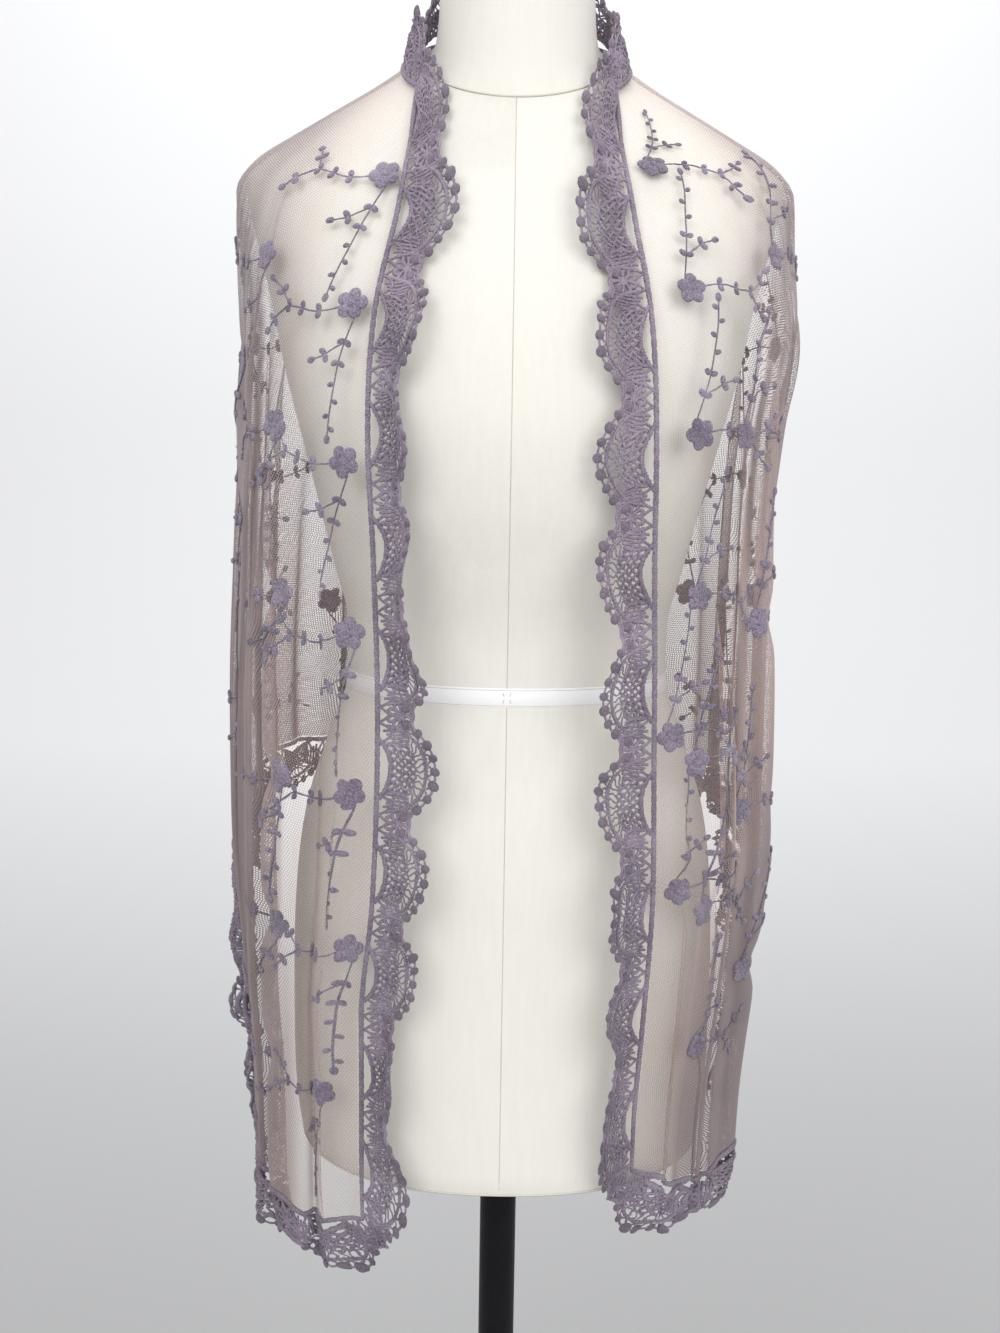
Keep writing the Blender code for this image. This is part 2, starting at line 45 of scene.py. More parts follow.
# The form's rounded ovals from its lower edge up; heights here and below are above the waist
formRings = {
    "height": [-0.333, -0.325, -0.245, -0.155, -0.09, -0.04, 0.0, 0.035, 0.08, 0.125, 0.17, 0.21,
               0.255, 0.3, 0.332, 0.35, 0.368, 0.384, 0.398, 0.41, 0.425, 0.465, 0.515],
    "halfWidth": [0.144, 0.1465, 0.151, 0.149, 0.1405, 0.1245, 0.112, 0.1115, 0.1215, 0.1325, 0.144, 0.154,
                  0.163, 0.174, 0.18, 0.162, 0.134, 0.105, 0.078, 0.06, 0.053, 0.051, 0.053],
    "front": [0.118, 0.12, 0.117, 0.113, 0.108, 0.099, 0.093, 0.094, 0.104, 0.117, 0.123, 0.118,
              0.106, 0.09, 0.077, 0.071, 0.066, 0.062, 0.058, 0.055, 0.052, 0.05, 0.052],
    "back": [0.12, 0.122, 0.126, 0.124, 0.112, 0.097, 0.088, 0.086, 0.09, 0.096, 0.101, 0.104,
             0.106, 0.104, 0.098, 0.091, 0.083, 0.076, 0.069, 0.062, 0.056, 0.053, 0.054],
    "roundness": [2.3, 2.3, 2.3, 2.3, 2.3, 2.2, 2.2, 2.2, 2.2, 2.2, 2.2, 2.2,
                  2.2, 2.1, 1.9, 1.8, 1.8, 1.8, 1.9, 2.0, 2.0, 2.0, 2.0],
    "tilt": [0.0, 0.0, 0.0, 0.0, 0.0, 0.0, 0.0, 0.0, 0.0, 0.0, 0.0, 0.0,
             0.0, 0.04, 0.08, 0.16, 0.28, 0.4, 0.52, 0.6, 0.55, 0.35, 0.15],
}

# The hanging cloth's rings before its folds, as in the solids
clothRings = {
    "height": [0.402, 0.393, 0.38, 0.364, 0.347, 0.325, 0.29, 0.245, 0.17, 0.08, 0.0, -0.1, -0.2,
               -0.3, -0.45],
    "left": [0.076, 0.0915, 0.1165, 0.145, 0.1722, 0.1862, 0.183, 0.1795, 0.178, 0.1775, 0.18, 0.181,
             0.176, 0.172, 0.172],
    "right": [0.076, 0.0915, 0.1165, 0.145, 0.1722, 0.1862, 0.1855, 0.1875, 0.175, 0.169, 0.169, 0.1705,
              0.164, 0.156, 0.154],
    "front": [0.062, 0.064, 0.0675, 0.0715, 0.077, 0.0855, 0.099, 0.115, 0.129, 0.133, 0.135, 0.137,
              0.138, 0.139, 0.14],
    "back": [0.0715, 0.0755, 0.082, 0.089, 0.0965, 0.1035, 0.109, 0.112, 0.115, 0.117, 0.12, 0.13,
             0.138, 0.14, 0.14],
    "roundness": [1.95, 1.9, 1.85, 1.85, 1.9, 2.05, 2.2, 2.3, 2.4, 2.5, 2.5, 2.4, 2.25, 2.1, 2.1],
    "tilt": [0.55, 0.49, 0.38, 0.26, 0.16, 0.08, 0.04, 0.02, 0.0, 0.0, 0.0, 0.0, 0.0, 0.0, 0.0],
}
frontEdge = {
    "height": [0.402, 0.35, 0.31, 0.245, 0.17, 0.09, 0.0, -0.125, -0.21, -0.29, -0.45],
    "left": [0.064, 0.069, 0.074, 0.0865, 0.09, 0.086, 0.083, 0.086, 0.094, 0.094, 0.087],
    "right": [0.064, 0.069, 0.075, 0.086, 0.0905, 0.092, 0.0945, 0.0975, 0.0945, 0.09, 0.089],
}
hemLine = {
    "share": [0.0, 0.08, 0.16, 0.24, 0.31, 0.37, 0.42, 0.47, 0.53, 0.62, 0.75, 1.0],
    "left": [-0.348, -0.353, -0.344, -0.323, -0.264, -0.197, -0.144, -0.105, -0.08, -0.068, -0.074, -0.095],
    "right": [-0.312, -0.328, -0.333, -0.318, -0.272, -0.216, -0.164, -0.117, -0.089, -0.08, -0.086, -0.095],
}
cornerShare = 0.245
# Hanging folds: share round the half, depth, half width, top
folds = {
    "left": [
        (0.06, 0.009, 0.016, 0.12), (0.135, 0.012, 0.017, 0.17), (0.21, 0.015, 0.017, 0.25),
        (0.285, 0.008, 0.016, 0.29), (0.36, 0.013, 0.018, 0.3), (0.44, 0.01, 0.017, 0.31),
        (0.44, 0.011, 0.022, 0.08),
        (0.525, 0.015, 0.02, 0.3), (0.62, 0.012, 0.02, 0.27), (0.72, 0.016, 0.022, 0.25),
        (0.83, 0.012, 0.022, 0.22), (0.94, 0.01, 0.022, 0.18),
    ],
    "right": [
        (0.07, 0.008, 0.016, 0.08), (0.14, 0.011, 0.016, 0.15), (0.215, 0.015, 0.017, 0.23),
        (0.29, 0.008, 0.016, 0.29), (0.35, 0.011, 0.017, 0.31), (0.435, 0.013, 0.019, 0.3),
        (0.435, 0.009, 0.022, 0.04),
        (0.53, 0.011, 0.019, 0.3), (0.63, 0.015, 0.021, 0.26), (0.74, 0.012, 0.022, 0.24),
        (0.86, 0.014, 0.022, 0.2),
    ],
}
foldReach = 0.26
neckHeight = clothRings["height"][0]
creaseFade = {"top": 0.12, "foot": 0.09}
# The surface is kept as a grid: rows by height, columns by share of the way round
clothGrid = {
    "low": -0.46, "rows": 260, "first": -0.16, "columns": 465, "ringSteps": 361, "turnStep": 0.004,
    "liftStep": 0.0008, "nearby": 0.32, "nearbySteps": 1281,
}


# Soft curve through a table's columns
def smoothValue(table, xName, yName, x):
    xs = np.array(table[xName], float)
    ys = np.array(table[yName], float)
    if xs[0] > xs[-1]:
        xs, ys = xs[::-1], ys[::-1]
    steps = np.diff(ys) / np.diff(xs)
    slopes = np.concatenate([[steps[0]], (steps[:-1] + steps[1:]) / 2, [steps[-1]]])
    slopes[1:-1] = np.where(steps[:-1] * steps[1:] <= 0, 0, slopes[1:-1])
    limit = 3 * np.minimum(np.abs(np.append(steps, steps[-1])), np.abs(np.insert(steps, 0, steps[0])))
    slopes = np.clip(slopes, -limit, limit)
    x = np.asarray(x, float)
    i = np.clip(np.searchsorted(xs, x) - 1, 0, len(xs) - 2)
    span = xs[i + 1] - xs[i]
    t = np.clip((x - xs[i]) / span, 0, 1)
    inside = ((1 + 2 * t) * (1 - t) ** 2 * ys[i] + t * (1 - t) ** 2 * span * slopes[i]
              + t * t * (3 - 2 * t) * ys[i + 1] + t * t * (t - 1) * span * slopes[i + 1])
    below = np.minimum(x - xs[0], 0) * slopes[0]
    above = np.maximum(x - xs[-1], 0) * slopes[-1]
    return inside + below + above


def smoothStep(x):
    x = np.clip(x, 0, 1)
    return x * x * (3 - 2 * x)


def unit(vectors):
    return vectors / np.maximum(np.linalg.norm(vectors, axis=-1, keepdims=True), 1e-9)


def arcLengths(points):
    return np.concatenate([[0], np.cumsum(np.linalg.norm(np.diff(points, axis=0), axis=1))])


# Values of a grid between its points, at row i and column j
def gridValue(grid, i, j):
    i, j = np.clip(i, 0, len(grid) - 1.001), np.clip(j, 0, grid.shape[1] - 1.001)
    i0, j0 = i.astype(int), j.astype(int)
    fi, fj = i - i0, j - j0
    if grid.ndim == 3:
        fi, fj = fi[:, None], fj[:, None]
    return ((grid[i0, j0] * (1 - fj) + grid[i0, j0 + 1] * fj) * (1 - fi)
            + (grid[i0 + 1, j0] * (1 - fj) + grid[i0 + 1, j0 + 1] * fj) * fi)


# One half of the stole as a surface: share round from the front edge, and height
class ClothHalf:

    def __init__(self, side):
        self.side = side
        self.sign = -1 if side == "left" else 1
        self.heights = np.linspace(clothGrid["low"], neckHeight, clothGrid["rows"])
        self.shares = np.linspace(clothGrid["first"], 1.0, clothGrid["columns"])
        angles = np.linspace(0, math.pi, clothGrid["ringSteps"])
        shape = (len(self.heights), len(self.shares))
        self.base = np.zeros(shape + (2,))
        self.out = np.zeros(shape + (2,))
        self.lengths = np.zeros(len(self.heights))
        self.tilts = smoothValue(clothRings, "height", "tilt", self.heights)
        for i, height in enumerate(self.heights):
            across, front, back, roundness = (float(smoothValue(clothRings, "height", name, height))
                                              for name in (side, "front", "back", "roundness"))
            power = 2 / roundness
            x = across * np.sin(angles) ** power
            cosines = np.cos(angles)
            y = np.where(cosines > 0, -front, back) * np.abs(cosines) ** power
            arc = np.concatenate([[0], np.cumsum(np.hypot(np.diff(x), np.diff(y)))])
            half = len(angles) // 2 + 1
            edge = np.interp(float(smoothValue(frontEdge, "height", side, height)), x[:half], arc[:half])
            self.lengths[i] = arc[-1] - edge
            place = np.clip(edge + self.shares * self.lengths[i], 0.005, None)
            px, py = np.interp(place, arc, x), np.interp(place, arc, y)
            step = clothGrid["turnStep"]
            dx = np.interp(place + step, arc, x) - np.interp(place - step, arc, x)
            dy = np.interp(place + step, arc, y) - np.interp(place - step, arc, y)
            dx[-1], dy[-1] = -1, 0
            size = np.hypot(dx, dy)
            self.base[i, :, 0], self.base[i, :, 1] = px, py
            self.out[i, :, 0], self.out[i, :, 1] = dy / size, -dx / size
        rib = np.zeros(shape)
        points = self.base.copy()
        z = self.heights[:, None] + self.tilts[:, None] * points[:, :, 1]
        run = np.sqrt(np.sum(np.diff(points, axis=0) ** 2, axis=2) + np.diff(z, axis=0) ** 2)
        rib[1:] = np.cumsum(run, axis=0)
        self.rib = rib[-1][None, :] - rib
        self.anchors = []

    def length(self, height):
        return np.interp(height, self.heights, self.lengths)

    def column(self, share):
        return (share - self.shares[0]) / (self.shares[1] - self.shares[0])

    # Value at a share and a height of a grid kept for this half
    def sample(self, grid, share, height):
        row = (height - self.heights[0]) / (self.heights[1] - self.heights[0])
        return gridValue(grid, row, self.column(share))

    # How far the folds and creases stand out of the ring, and lean along it
    def folds(self, share, height):
        out = np.zeros_like(share)
        along = np.zeros_like(share)
        length = self.length(height)
        for place, depth, halfWidth, top in folds[self.side]:
            off = np.clip((share - place) * length / halfWidth, -1, 1)
            out += depth * smoothStep((top - height) / foldReach) * np.cos(off * math.pi / 2) ** 2
        calm = np.ones_like(share)
        for place, level, kind in self.anchors:
            distance = ((share - place) * length) ** 2 + (height - level) ** 2
            calm *= 1 - creaseCalm["share"] * np.exp(-distance / creaseCalm["reach"] ** 2)
        for place, depth, halfWidth, top, foot, lean, slant in creases[self.side]:
            line = place + slant * (top - height)
            off = np.clip((share - line) * length / halfWidth, -1, 1)
            reach = smoothStep((top - height) / creaseFade["top"])
            reach = reach * smoothStep((height - foot) / creaseFade["foot"]) * calm
            ridge = reach * np.cos(off * math.pi / 2) ** 2
            out += depth * ridge
            along += lean * halfWidth * ridge
        return out, along

    # Points of the cloth, at shares of the way round and distances further along the ring
    def at(self, share, height, distance=0.0, lift=0.0):
        share = np.atleast_1d(np.asarray(share, float))
        height = np.atleast_1d(np.asarray(height, float))
        share, height = np.broadcast_arrays(share + distance / self.length(height), height)
        fold, along = self.folds(share, height)
        moved = share + along / self.length(height)
        base = self.sample(self.base, moved, height)
        out = self.sample(self.out, moved, height)
        points = np.zeros((len(share), 3))
        points[:, 0] = self.sign * (base[:, 0] + out[:, 0] * (fold + lift))
        points[:, 1] = base[:, 1] + out[:, 1] * (fold + lift)
        points[:, 2] = waist + height + np.interp(height, self.heights, self.tilts) * base[:, 1]
        return points

    # Points lifted square off the cloth's folded surface
    def above(self, share, height, lift):
        points = self.at(share, height)
        step = clothGrid["liftStep"]
        across = self.at(share, height, step) - self.at(share, height, -step)
        down = self.at(share, height + step) - self.at(share, height - step)
        return points + unit(np.cross(across, down) * self.sign) * lift[:, None]

    def hem(self, share):
        return smoothValue(hemLine, "share", self.side, share)

    # Share on the front where the cloth's distance from the middle is x
    def shareAtX(self, x, height):
        row = int(np.argmin(np.abs(self.heights - height)))
        across = self.base[row, :, 0]
        widest = int(np.argmax(across)) + 1
        return float(np.interp(x, across[:widest], self.shares[:widest]))

    # Points at distances du round and dv down the folded cloth from one anchor, lifted off it
    def place(self, share, height, du, dv, lift):
        nearby = share + np.linspace(-clothGrid["nearby"], clothGrid["nearby"], clothGrid["nearbySteps"])
        lengths = arcLengths(self.at(nearby, np.full_like(nearby, height)))
        lengths -= lengths[len(nearby) // 2]
        shares = np.clip(np.interp(du, lengths, nearby), self.shares[0] + 0.01, 1.0)
        columns = np.clip(self.column(shares), 0, len(self.shares) - 1.001).astype(int)
        start = self.sample(self.rib, shares, np.full_like(shares, height))
        heights = np.empty_like(shares)
        for column in np.unique(columns):
            own = columns == column
            ribs = self.rib[:, column]
            heights[own] = np.interp(start[own] + dv[own], ribs[::-1], self.heights[::-1])
        return self.above(shares, heights, lift)


# Finer creases between the folds, most of them pressed over to one side: share, depth, half width, top,
# foot, lean as a multiple of the half width, and how its share drifts for each metre of fall
creases = {
    "left": [
        (0.034, 0.006, 0.0075, 0.06, -0.4, 0.9, 0.02), (0.1, 0.007, 0.0085, 0.13, -0.42, -1.2, 0.03),
        (0.165, 0.007, 0.008, 0.21, -0.42, 1.3, -0.02), (0.232, 0.008, 0.009, 0.27, -0.42, -1.3, 0.02),
        (0.262, 0.006, 0.008, 0.1, -0.42, 1.0, 0.0), (0.322, 0.008, 0.0095, 0.29, -0.42, 1.3, 0.0),
        (0.395, 0.008, 0.01, 0.3, -0.33, -1.2, 0.03), (0.478, 0.008, 0.01, 0.3, -0.3, 1.3, -0.02),
        (0.57, 0.008, 0.011, 0.28, -0.24, -1.2, 0.02), (0.67, 0.008, 0.011, 0.27, -0.2, 1.2, 0.0),
        (0.775, 0.0075, 0.012, 0.24, -0.2, -1.1, 0.03), (0.885, 0.007, 0.012, 0.21, -0.2, 1.2, 0.0),
        (0.15, 0.0035, 0.013, 0.38, 0.13, 0.6, 0.42), (0.215, 0.003, 0.011, 0.385, 0.16, -0.5, 0.5),
        (0.3, 0.0035, 0.013, 0.375, 0.18, 0.6, 0.3),
    ],
    "right": [
        (0.03, 0.006, 0.0075, 0.02, -0.4, 1.0, 0.02), (0.098, 0.007, 0.008, 0.11, -0.42, 1.2, 0.02),
        (0.17, 0.0075, 0.0085, 0.19, -0.42, -1.3, 0.03), (0.24, 0.008, 0.009, 0.26, -0.42, 1.3, -0.02),
        (0.272, 0.006, 0.008, 0.12, -0.42, -1.0, 0.0), (0.318, 0.008, 0.0095, 0.29, -0.42, 1.2, 0.0),
        (0.392, 0.008, 0.0095, 0.3, -0.33, -1.3, 0.02), (0.48, 0.008, 0.01, 0.3, -0.3, 1.2, 0.0),
        (0.58, 0.008, 0.011, 0.28, -0.24, -1.3, 0.03), (0.685, 0.008, 0.012, 0.26, -0.2, 1.2, -0.02),
        (0.8, 0.008, 0.012, 0.23, -0.2, -1.2, 0.02),
        (0.12, 0.004, 0.013, 0.37, 0.12, -0.7, 0.55), (0.175, 0.0035, 0.012, 0.38, 0.12, 0.7, 0.6),
        (0.25, 0.0035, 0.013, 0.38, 0.15, -0.6, 0.4), (0.33, 0.0035, 0.013, 0.375, 0.18, 0.5, 0.2),
    ],
}
# Stitched flowers hold the net flat round them
creaseCalm = {"share": 0.75, "reach": 0.014}
halves = {side: ClothHalf(side) for side in ("left", "right")}

# Flowers on the fronts: distance from the middle, height, variant
frontFlowers = {
    "left": [
        (0.081, 0.333, 0), (0.0985, 0.247, 1), (0.102, 0.15, 0), (0.098, 0.045, 1), (0.096, -0.056, 0),
        (0.099, -0.16, 1), (0.113, -0.262, 0), (0.156, 0.28, 1), (0.148, 0.172, 0), (0.14, 0.067, 1),
        (0.138, -0.05, 0), (0.14, -0.15, 1), (0.15, -0.25, 0), (0.175, 0.215, 0), (0.173, 0.11, 1),
        (0.176, -0.01, 0),
    ],
    "right": [
        (0.085, 0.345, 1), (0.109, 0.26, 0), (0.116, 0.17, 1), (0.119, 0.07, 0), (0.103, -0.018, 1),
        (0.12, -0.036, 0), (0.109, -0.12, 1), (0.126, -0.136, 0), (0.125, -0.235, 1), (0.148, 0.17, 0),
        (0.154, 0.05, 1), (0.166, 0.285, 0), (0.152, -0.075, 1), (0.152, -0.19, 0), (0.169, 0.11, 1),
    ],
}
# Rows of flowers round the sides and the back: height, first share, step, variant of the first
backFlowers = [
    (0.33, 0.52, 0.21, 0), (0.235, 0.46, 0.185, 1), (0.14, 0.52, 0.185, 0), (0.045, 0.46, 0.185, 1),
    (-0.04, 0.53, 0.185, 0), (-0.13, 0.42, 0.3, 1),
]
flowerDrift = {"share": 0.015, "height": 0.01, "aboveHem": 0.03, "lastShare": 0.97}
for half in halves.values():
    for x, height, variant in frontFlowers[half.side]:
        half.anchors.append((half.shareAtX(x, height), height, variant))
    for height, share, step, variant in backFlowers:
        while share < flowerDrift["lastShare"]:
            if height > float(half.hem(share)) + flowerDrift["aboveHem"]:
                moved = share + random.uniform(-flowerDrift["share"], flowerDrift["share"])
                level = height + random.uniform(-flowerDrift["height"], flowerDrift["height"])
                half.anchors.append((moved, level, variant))
            share += step
            variant = 1 - variant
print("cloth surface worked out")


# Materials

# Links or plain values for some of a node's inputs
def feed(tree, node, inputs):
    for name, value in inputs.items():
        if isinstance(value, bpy.types.NodeSocket):
            tree.links.new(value, node.inputs[name])
        else:
            node.inputs[name].default_value = value


def addNode(tree, kind, inputs={}, **settings):
    node = tree.nodes.new("ShaderNode" + kind)
    for name, value in settings.items():
        setattr(node, name, value)
    feed(tree, node, inputs)
    return node


def calc(tree, operation, first, second):
    return addNode(tree, "Math", {0: first, 1: second}, operation=operation).outputs[0]


# A smooth step of a value between two limits
def eased(tree, value, low, high, toLow, toHigh=1.0):
    limits = {"Value": value, "From Min": low, "From Max": high, "To Min": toLow, "To Max": toHigh}
    return addNode(tree, "MapRange", limits, interpolation_type="SMOOTHSTEP").outputs["Result"]


def blended(tree, factor, first, second):
    return addNode(tree, "Mix", {"Factor": factor, 6: first, 7: second}, data_type="RGBA").outputs[2]


def dimmed(tree, colour, scale):
    return addNode(tree, "VectorMath", {0: colour, "Scale": scale}, operation="SCALE").outputs[0]


def noiseAt(tree, place, scale, detail, **more):
    inputs = {"Vector": place, "Scale": scale, "Detail": detail, **more}
    return addNode(tree, "TexNoise", inputs).outputs["Fac"]


# Two values, each times its own share, added
def weighed(tree, first, firstShare, second, secondShare):
    return calc(tree, "ADD", calc(tree, "MULTIPLY", first, firstShare),
                calc(tree, "MULTIPLY", second, secondShare))


def objectPlace(tree):
    return addNode(tree, "TexCoord").outputs["Object"]


def metresPlace(tree):
    return addNode(tree, "UVMap", uv_map="metres").outputs["UV"]


def newMaterial(name):
    material = bpy.data.materials.new(name)
    material.use_nodes = True
    return material, material.node_tree, material.node_tree.nodes["Principled BSDF"]


shade = {"from": -0.3, "to": 0.22}


# Deepens a colour towards the lower hem, where the cloth hangs in its own shade
def lowShade(tree, place, colour, lowest):
    height = addNode(tree, "SeparateXYZ", {0: place}).outputs[2]
    return dimmed(tree, colour, eased(tree, height, waist + shade["from"], waist + shade["to"], lowest))


def newGroup(name, inputs, outputs):
    group = bpy.data.node_groups.new(name, "ShaderNodeTree")
    for way, sockets in (("INPUT", inputs), ("OUTPUT", outputs)):
        for socket, kind in sockets.items():
            group.interface.new_socket(socket, in_out=way, socket_type="NodeSocket" + kind)
    return group, group.nodes.new("NodeGroupInput").outputs, group.nodes.new("NodeGroupOutput")


# Twisted-thread relief and colour change over a surface: the colour varies at random and is also painted
# darker in the relief's hollows, as painted shade
def threadGroup():
    group, given, end = newGroup("threadRelief", {"Vector": "Vector", "Scale": "Float", "Dark": "Color",
                                                  "Light": "Color"}, {"Height": "Float", "Color": "Color"})
    noise = noiseAt(group, given["Vector"], given["Scale"], 3, Roughness=0.65)
    cellScale = calc(group, "MULTIPLY", given["Scale"], 1.6)
    cells = addNode(group, "TexVoronoi", {"Vector": given["Vector"], "Scale": cellScale}).outputs["Distance"]
    both = calc(group, "ADD", noise, calc(group, "MULTIPLY", cells, -0.55))
    broad = noiseAt(group, given["Vector"], 38, 2)
    # Painted shade: the colour follows the relief's height, darker in its hollows, with broad random tone
    # mixed in
    mixed = weighed(group, both, 0.9, broad, 0.7)
    share = addNode(group, "MapRange", {"Value": mixed, "From Min": 0.35, "From Max": 0.95})
    colour = blended(group, share.outputs["Result"], given["Dark"], given["Light"])
    feed(group, end, {"Height": both, "Color": colour})
    return group


threadRelief = threadGroup()


def threadMaterial(name, dark, light, scale, bump, roughness, sheen, lowest=1.0, bead=1.0):
    material, tree, shader = newMaterial(name)
    place = objectPlace(tree)
    inputs = {"Vector": place, "Scale": scale, "Dark": (*dark, 1), "Light": (*light, 1)}
    relief = addNode(tree, "Group", inputs, node_tree=threadRelief).outputs
    raised = addNode(tree, "Bump", {"Distance": bump, "Strength": 0.8, "Height": relief["Height"]})
    colour = lowShade(tree, place, relief["Color"], lowest)
    if bead < 1.0:
        marked = addNode(tree, "Attribute", attribute_name="bead").outputs["Fac"]
        colour = dimmed(tree, colour, calc(tree, "ADD", calc(tree, "MULTIPLY", marked, bead - 1.0), 1.0))
    feed(tree, shader, {"Base Color": colour, "Normal": raised.outputs["Normal"], "Roughness": roughness,
                        "Sheen Weight": sheen, "Sheen Roughness": 0.5})
    return material


# The chest thread colour is a lighter, warmer copy of the threads, painted light where they lie over the lit
# form
net = {
    "frontColumns": 130, "backColumns": 90, "rows": 110, "frontShare": 0.52, "cell": 0.0019, "thread": 0.027,
    "lowThread": 2.45, "sideThread": 3.1, "rightGather": 0.77, "rightLow": 1.35, "frontGather": 0.55,
    "backGather": 1.2, "grazing": 0.27, "threadEdge": 0.05, "stretchedFrom": -0.15, "stretchedTo": 0.3,
    "rightFrom": -0.28, "rightTo": -0.02, "gatherFrom": 0.05, "gatherTo": 0.135, "hemShade": 0.72,
    "dark": (0.262, 0.202, 0.208, 1), "light": (0.42, 0.332, 0.335, 1), "litChest": (0.74, 0.56, 0.51, 1),
}


# Honeycomb threads on a UV map in metres: Mask is 1 on a thread and 0 in a cell
def hexGroup():
    group, given, end = newGroup("honeycomb", {"Vector": "Vector", "Cell": "Float", "Thread": "Float"},
                                 {"Mask": "Float"})
    split = addNode(group, "SeparateXYZ", {0: given["Vector"]}).outputs
    x, y = (calc(group, "DIVIDE", split[i], given["Cell"]) for i in (0, 1))
    rowHeight = math.sqrt(3)

    def cellOffset(value, shift, size):
        wrapped = calc(group, "FLOORED_MODULO", calc(group, "ADD", value, shift * size), size)
        return calc(group, "ABSOLUTE", calc(group, "SUBTRACT", wrapped, size / 2), 0.0)

    def cellDistance(shift):
        ax, ay = cellOffset(x, shift, 1.0), cellOffset(y, shift, rowHeight)
        return calc(group, "MAXIMUM", ax, weighed(group, ax, 0.5, ay, rowHeight / 2))

    nearest = calc(group, "MINIMUM", cellDistance(0.0), cellDistance(0.5))
    inner = calc(group, "SUBTRACT", 0.5, given["Thread"])
    edge = addNode(group, "MapRange", {"Value": nearest, "From Min": inner,
                                       "From Max": calc(group, "ADD", inner, net["threadEdge"])})
    feed(group, end, {"Mask": edge.outputs["Result"]})
    return group


def netMaterial():
    material, tree, shader = newMaterial("netMaterial")
    # Round threads close their holes as the net turns away from the eye
    away = addNode(tree, "LayerWeight", {"Blend": 0.5}).outputs["Facing"]
    facing = calc(tree, "MAXIMUM", calc(tree, "SUBTRACT", 1.0, away), net["grazing"])
    place = objectPlace(tree)
    x, y, z = addNode(tree, "SeparateXYZ", {0: place}).outputs
    # The net hangs less stretched lower down, so its threads lie closer there
    closer = eased(tree, z, waist + net["stretchedFrom"], waist + net["stretchedTo"],
                   net["thread"] * net["lowThread"], net["thread"])
    # and more gathered at the sides and the back than over the chest
    doubled = eased(tree, z, waist + net["rightFrom"], waist + net["rightTo"], net["rightLow"],
                    net["rightGather"])
    reach = calc(tree, "MAXIMUM", calc(tree, "MULTIPLY", x, -1.0), calc(tree, "MULTIPLY", x, doubled))
    depth = calc(tree, "MAXIMUM", calc(tree, "MULTIPLY", y, net["backGather"]),
                 calc(tree, "MULTIPLY", y, net["frontGather"]))
    gathered = eased(tree, calc(tree, "ADD", reach, depth), net["gatherFrom"], net["gatherTo"], 1.0,
                     net["sideThread"])
    thread = calc(tree, "DIVIDE", calc(tree, "MULTIPLY", closer, gathered), facing)
    holes = addNode(tree, "Group", {"Vector": metresPlace(tree), "Cell": net["cell"], "Thread": thread},
                    node_tree=hexGroup())
    # Painted light and shade: over the chest the threads take the lit chest colour, and where the net
    # gathers at the sides and back they keep the darker, shaded colours
    colour = blended(tree, noiseAt(tree, place, 26, 2), net["dark"], net["light"])
    aside = calc(tree, "DIVIDE", calc(tree, "SUBTRACT", gathered, 1.0), net["sideThread"] - 1.0)
    colour = lowShade(tree, place, blended(tree, aside, net["litChest"], colour), net["hemShade"])
    feed(tree, shader, {"Base Color": colour, "Alpha": holes.outputs["Mask"], "Roughness": 0.7,
                        "Sheen Weight": 0.2})
    return material


linen = {
    "dark": (0.78, 0.75, 0.67, 1), "light": (0.9, 0.88, 0.82, 1), "weave": (("X", 310.0), ("Y", 280.0)),
    "fine": 240, "broad": 7, "relief": 0.00012,
}


def linenMaterial():
    material, tree, shader = newMaterial("linenMaterial")
    flat, place = metresPlace(tree), objectPlace(tree)
    waves = []
    for direction, scale in linen["weave"]:
        inputs = {"Vector": flat, "Scale": scale, "Distortion": 1.2, "Detail Scale": 0.6}
        waves.append(addNode(tree, "TexWave", inputs, bands_direction=direction).outputs["Fac"])
    weave = calc(tree, "MULTIPLY", *waves)
    raised = addNode(tree, "Bump", {"Distance": linen["relief"], "Strength": 0.5, "Height": weave})
    stretch = addNode(tree, "Mapping", {"Vector": place, "Scale": (1.0, 1.0, 0.12)}).outputs["Vector"]
    fine, broad = noiseAt(tree, stretch, linen["fine"], 2), noiseAt(tree, place, linen["broad"], 3)
    colour = blended(tree, weighed(tree, fine, 0.45, broad, 0.55), linen["dark"], linen["light"])
    feed(tree, shader, {"Base Color": colour, "Normal": raised.outputs["Normal"], "Roughness": 0.85,
                        "Sheen Weight": 0.15})
    return material


def paintMaterial(name, dark, light, roughness, spread):
    material, tree, shader = newMaterial(name)
    noise = noiseAt(tree, objectPlace(tree), 60, 4)
    rough = calc(tree, "ADD", calc(tree, "MULTIPLY", noise, spread), roughness - spread / 2)
    feed(tree, shader, {"Base Color": blended(tree, noise, (*dark, 1), (*light, 1)), "Roughness": rough,
                        "Metallic": 0.0, "Specular IOR Level": 0.2})
    return material


# Dark and light colour, texture scale, bump, roughness, sheen, and shade at the hem and on beads
threads = {
    "lace": ((0.168, 0.13, 0.176), (0.49, 0.41, 0.51), 900, 0.0003, 0.8, 0.3, 0.85, 0.64),
    "flower": ((0.12, 0.092, 0.135), (0.45, 0.39, 0.5), 720, 0.0008, 0.8, 0.4, 0.85),
    "tape": ((0.95, 0.95, 0.95), (1.0, 1.0, 1.0), 1400, 0.0001, 0.85, 0.1),
    "seam": ((0.6, 0.57, 0.5), (0.8, 0.77, 0.69), 1400, 0.0001, 0.9, 0.1),
}
materials = {name: threadMaterial(name + "Material", *look) for name, look in threads.items()}
materials["net"] = netMaterial()
materials["linen"] = linenMaterial()
materials["black"] = paintMaterial("blackPaint", (0.003, 0.002, 0.004), (0.007, 0.006, 0.008), 0.48, 0.03)
print("materials made")


def addPiece(name, mesh, material, replaced=()):
    piece = bpy.data.objects.new(name, mesh)
    bpy.context.scene.collection.objects.link(piece)
    mesh.materials.clear()
    mesh.materials.append(materials[material])
    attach(piece, "root")
    if replaced:
        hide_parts(*replaced)
    return piece


